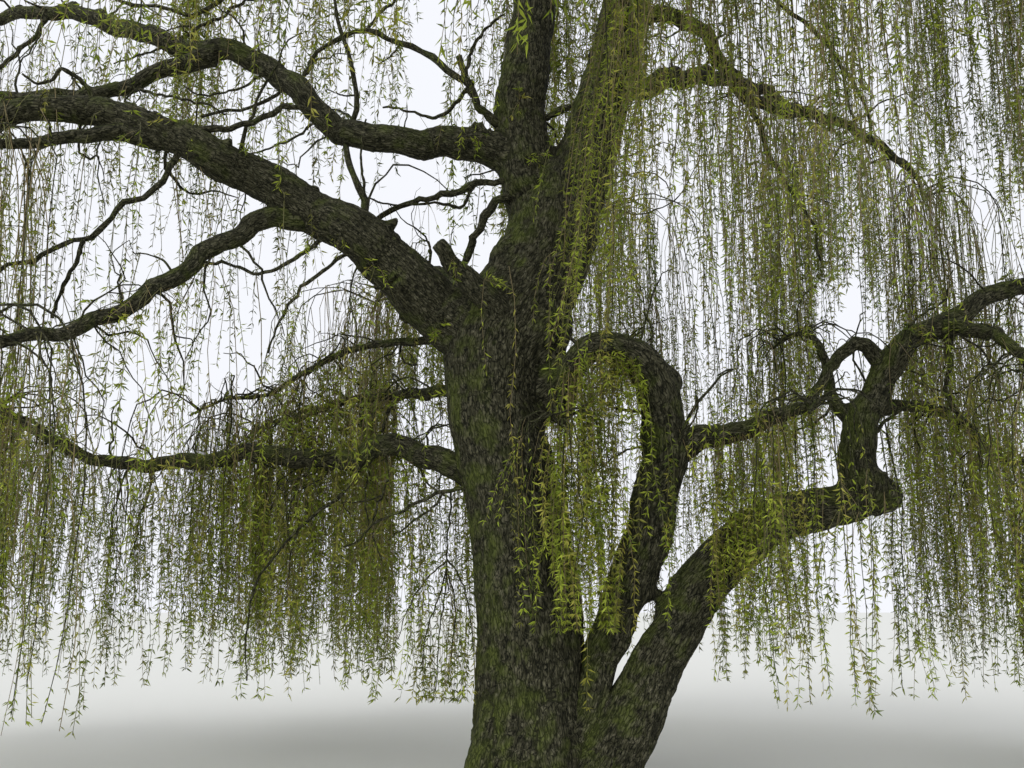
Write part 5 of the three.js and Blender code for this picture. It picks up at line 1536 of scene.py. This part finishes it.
# Thick hanging streams that the photo shows: they spring along a stretch of a limb's line, in metres from its
# root, and lean a little as they fall. "heading" is the side of the limb that they come over.
streams = table((
    "carrier", "stretch", "count", "length", "heading", "reach", "leafy", "leaf", "low", "fine", "lean"), {
    "near_stream": ("inner_front_bough", (0.7, 2.4), 70, (2.0, 4.3), (-200, 20), (0.1, 0.35), 0.75, 0.85,
        3.4, False, (-0.13, 0)),
    "leader_edge": ("leader_right", (1.0, 4.2), 130, (0.2, 0.8), (-80, -5), (0.22, 0.36), 1.6, 0.75, 4,
        True),
    "arch_curtain": ("side_stem", (3.95, 4.65), 130, (0.7, 2.9), (-140, -40), (0.16, 0.42), 1.3, 0.9, 1.3,
        True, (0, -0.03)),
    "arch_edge": ("side_stem", (3.7, 4.0), 18, (0.4, 1.0), (-160, -80), (0.2, 0.3), 1.3, 0.75, 2.4, True),
    "knee_fall": ("side_stem", (3.2, 3.6), 16, (0.4, 1.3), (-110, -20), (0.24, 0.34), 1.1, 0.75, 1.8, True),
    "branch_curtain": ("side_branch", (0.3, 1.3), 150, (0.4, 2.1), (-150, -30), (0.12, 0.3), 1.2, 0.75, 0.8),
    "left_edge": ("leader_left", (0.3, 3.6), 60, (0.2, 0.9), (-150, -30), (0.2, 0.34), 1.3, 0.7, 4, True),
    "low_curtain": ("low_bough", (0.7, 6.4), 220, (0.4, 2.2), (15, 165), (0.15, 0.6), 0.5, 1.0, 0.75),
    "low_fringe": ("low_bough", (0.5, 6.4), 40, (0.3, 1.6), (180, 360), (0.1, 0.25), 0.4, 0.8, 0.75),
    "back_left_curtain": ("back_left_bough", (0.9, 3.1), 140, (0.8, 3.0), (20, 200), (0.15, 0.8), 0.5, 1.1,
        0.75),
    "thin_curtain": ("thin_bough", (0.9, 2.8), 100, (0.6, 3.0), (20, 180), (0.15, 0.6), 0.5, 1.0, 0.9),
    "back_curtain": ("back_bough_left", (1.1, 4.4), 140, (1.5, 5.2), (0, 360), (0.1, 0.8), 0.5, 1.15, 0.75),
    "elbow_curtain": ("elbow_stem", (1.6, 3.8), 120, (0.6, 3.2), (0, 180), (0.15, 0.6), 0.6, 0.9, 0.75),
})
# The same all along the upper boughs, so that the crown closes over them
crownTwigs = {  # how many along each bough, and their leaves' size
    "left_front_bough": (60, 1.4), "front_bough": (70, 1.6), "front_right_bough": (60, 1.3),
    "right_bough": (50, 1.4), "left_upper_bough": (50, 1.5), "back_upper_bough": (60, 1.5),
    "leader_left": (66, 1.4), "leader_right": (80, 1.4), "back_bough_mid": (60, 1.1),
    "back_bough_right": (46, 1.1), "great_bough": (26, 0.8), "high_bough": (24, 0.8),
}
crownPlan = {"length": (0.8, 3.4), "heading": (0, 360), "reach": (0.1, 0.6), "leafy": 0.42, "low": 0.9}
crownFrom, crownEnd = 0.35, 0.6  # where they begin, as a share of a bough, and metres before its end
for name, (count, leaf) in crownTwigs.items():
    end = limbLines[name]["along"][-1]
    streams["crown_" + name] = {"carrier": name, "stretch": (crownFrom * end, end - crownEnd),
                                "count": count, "leaf": leaf, **crownPlan}
for number, plan in enumerate(streams.values()):
    rng = np.random.RandomState(seeds["streams"] + number)
    line, count = limbLines[plan["carrier"]], plan["count"]
    origins = placesAt(line["points"], line["along"], rng.uniform(*plan["stretch"], count))
    lengths = np.minimum(rng.uniform(*plan["length"], count), origins[:, 2] - plan["low"])
    headings = np.radians(rng.uniform(*plan["heading"], count))
    reaches = rng.uniform(*plan["reach"], count)
    twigs = hanging(origins, headings, reaches, lengths, rng, plan.get("lean", (0, 0)))
    good = inBox(twigs).all(1) & clearPaths(twigs, -0.03, 3)
    twigs, lengths = openSky(twigs[good], lengths[good], rng)
    dealTwigs(twigs, lengths, rng)
    template = leafFine if plan.get("fine") else leafPlain
    dealLeaves(twigs, lengths, foliage["streamBare"], plan["leafy"], plan["leaf"], template, rng)

# Sparse twigs from the outer parts of the boughs and the side branches
sparse = {
    "thick": 0.11, "from": 0.9, "low": 2.2,   # the limbs' parts that bear them
    "start": 0.3,                             # from here on along a part
    "length": (2.2, 0.36, 0.25),              # shape, scale and least of their lengths
    "end": 0.7, "shortest": 0.2, "reach": (0.05, 0.26), "leafy": 0.6, "bareTop": 0.1,
    "parts": (3, 4),                          # how often a placed branch and an outer part come up
}
rng = np.random.RandomState(seeds["sparse"])
outer = []
for line in limbLines.values():
    thin = (line["radii"] < sparse["thick"]) & (line["along"] > sparse["from"])
    thin &= line["points"][:, 2] > sparse["low"]
    if thin.sum() > 8:
        outer.append(spaced(line["points"][thin], wild["points"]))
ownPaths = np.array([spaced(path, wild["points"]) for path in handPaths])
holders = np.concatenate([ownPaths] * sparse["parts"][0] + [np.array(outer)] * sparse["parts"][1]
                         + [wildPaths])
wanted = foliage["boughTwigs"]
picks = rng.randint(0, len(holders), foliage["spares"] * wanted)
origins = along(holders, picks, rng.uniform(sparse["start"], 1, len(picks)))
shape, scale, least = sparse["length"]
lengths = np.minimum(rng.gamma(shape, scale, len(picks)) + least, origins[:, 2] - sparse["end"])
keep = lengths > sparse["shortest"]
origins, lengths = origins[keep], lengths[keep]
headings = rng.uniform(0, 2 * np.pi, len(origins))
reaches = rng.uniform(*sparse["reach"], len(origins))
twigs = hanging(origins, headings, reaches, lengths, rng, points="shortPoints")
good = inBox(twigs).all(1) & clearPaths(twigs, -0.02, 2)
twigs, lengths = openSky(twigs[good][:wanted], lengths[good][:wanted], rng)
dealTwigs(twigs, lengths, rng)
dealLeaves(twigs, lengths, sparse["bareTop"], sparse["leafy"], 1, leafPlain, rng)

# Tufts of short shoots on the trunk and boughs
tuft = {
    "low": 1.6, "high": 9, "shoots": 5, "sunk": 0.9,  # where they may sit, and how deep in the limb's radius
    "spread": 0.5, "up": 0.2, "length": (0.1, 0.28), "droop": 0.6, "leafy": 1.3, "leaf": 0.9, "bareTop": 0.2,
}
tuftLines = [trunkLine(lineGap)] + list(limbLines.values())
centres = np.concatenate([line["points"] for line in tuftLines])
sizes = np.concatenate([line["radii"] for line in tuftLines])
acrosses = np.concatenate([line["across"] for line in tuftLines])
overs = np.concatenate([np.cross(line["ahead"], line["across"]) for line in tuftLines])
inReach = (centres[:, 2] > tuft["low"]) & (centres[:, 2] < tuft["high"])
picks = rng.choice(np.flatnonzero(inReach), foliage["tufts"])
turns = rng.uniform(0, 2 * np.pi, len(picks))[:, None]
outs = np.cos(turns) * acrosses[picks] + np.sin(turns) * overs[picks]
ways = np.repeat(outs, tuft["shoots"], 0)
ways = ways + rng.normal(size=ways.shape) * tuft["spread"] + np.array((0, 0, tuft["up"]))
ways /= np.linalg.norm(ways, axis=1, keepdims=True)
feet = np.repeat(centres[picks] + outs * sizes[picks][:, None] * tuft["sunk"], tuft["shoots"], 0)
t = np.linspace(0, 1, foliage["shortPoints"])[None, :, None]
spans = rng.uniform(*tuft["length"], len(feet))
paths = feet[:, None] + ways[:, None] * t * spans[:, None, None]
paths[..., 2] -= tuft["droop"] * spans[:, None] * t[..., 0] ** 2
keep = inBox(paths, 0.1).all(1)
dealTwigs(paths[keep], spans[keep], rng)
dealLeaves(paths[keep], spans[keep], tuft["bareTop"], tuft["leafy"], tuft["leaf"], leafFine, rng)


def pieceFrom(name, heap, material, nodes):
    return meshFrom(name, np.concatenate(heap["points"]), heap["faces"], material, nodes)


branches = pieceFrom("side_branches", branchHeap, willowBark("branch_bark", 70, 34), list(masses))
addAttribute(branches.data, "barkPlace", "FLOAT_VECTOR", np.concatenate(branchHeap["straight"]))
layMoss(branches.data)
for name, (dark, light, _) in skins.items():
    pieceFrom(name, skinHeaps[name], shootSkin(name, dark, light), list(masses))
for name, (deep, fresh, _) in tones.items():
    pieceFrom(name, leafHeaps[name], youngLeaf(name, deep, fresh), list(masses))


# Stage, light and camera
stage = {"floor": 240, "floorColour": "#d9d9d2", "floorRoughness": 0.9, "worldColour": "#f7f9ff",
         "world": 1.0, "sun": 0.9, "sunSpread": 50, "sunTurn": (38, -30)}
pick()
bpy.ops.mesh.primitive_plane_add(size=stage["floor"], location=(0, 0, 0))
ground = bpy.context.object
ground.name = "floor"
floorMaterial, _, floorShader = newMaterial("floor_paper")
floorShader.inputs["Base Color"].default_value = linear(stage["floorColour"])
floorShader.inputs["Roughness"].default_value = stage["floorRoughness"]
ground.data.materials.append(floorMaterial)

world = bpy.data.worlds.new("soft_sky")
world.use_nodes = True
backdrop = world.node_tree.nodes["Background"]
backdrop.inputs["Color"].default_value = linear(stage["worldColour"])
backdrop.inputs["Strength"].default_value = stage["world"]
bpy.context.scene.world = world
bpy.context.scene.view_settings.view_transform = "Standard"

lamp = bpy.data.lights.new("soft_sun", "SUN")
lamp.energy = stage["sun"]
lamp.angle = math.radians(stage["sunSpread"])
lampHolder = bpy.data.objects.new("soft_sun", lamp)
lampHolder.rotation_euler = (*np.radians(stage["sunTurn"]), 0)
bpy.context.scene.collection.objects.link(lampHolder)

camera = bpy.data.objects.new("camera", bpy.data.cameras.new("camera"))
camera.data.sensor_width = view["sensor"]
camera.data.lens = view["lens"]
camera.data.clip_end = 500
camera.location = view["from"]
camera.rotation_euler = (math.radians(view["tilt"]), 0, 0)
bpy.context.scene.collection.objects.link(camera)
bpy.context.scene.camera = camera
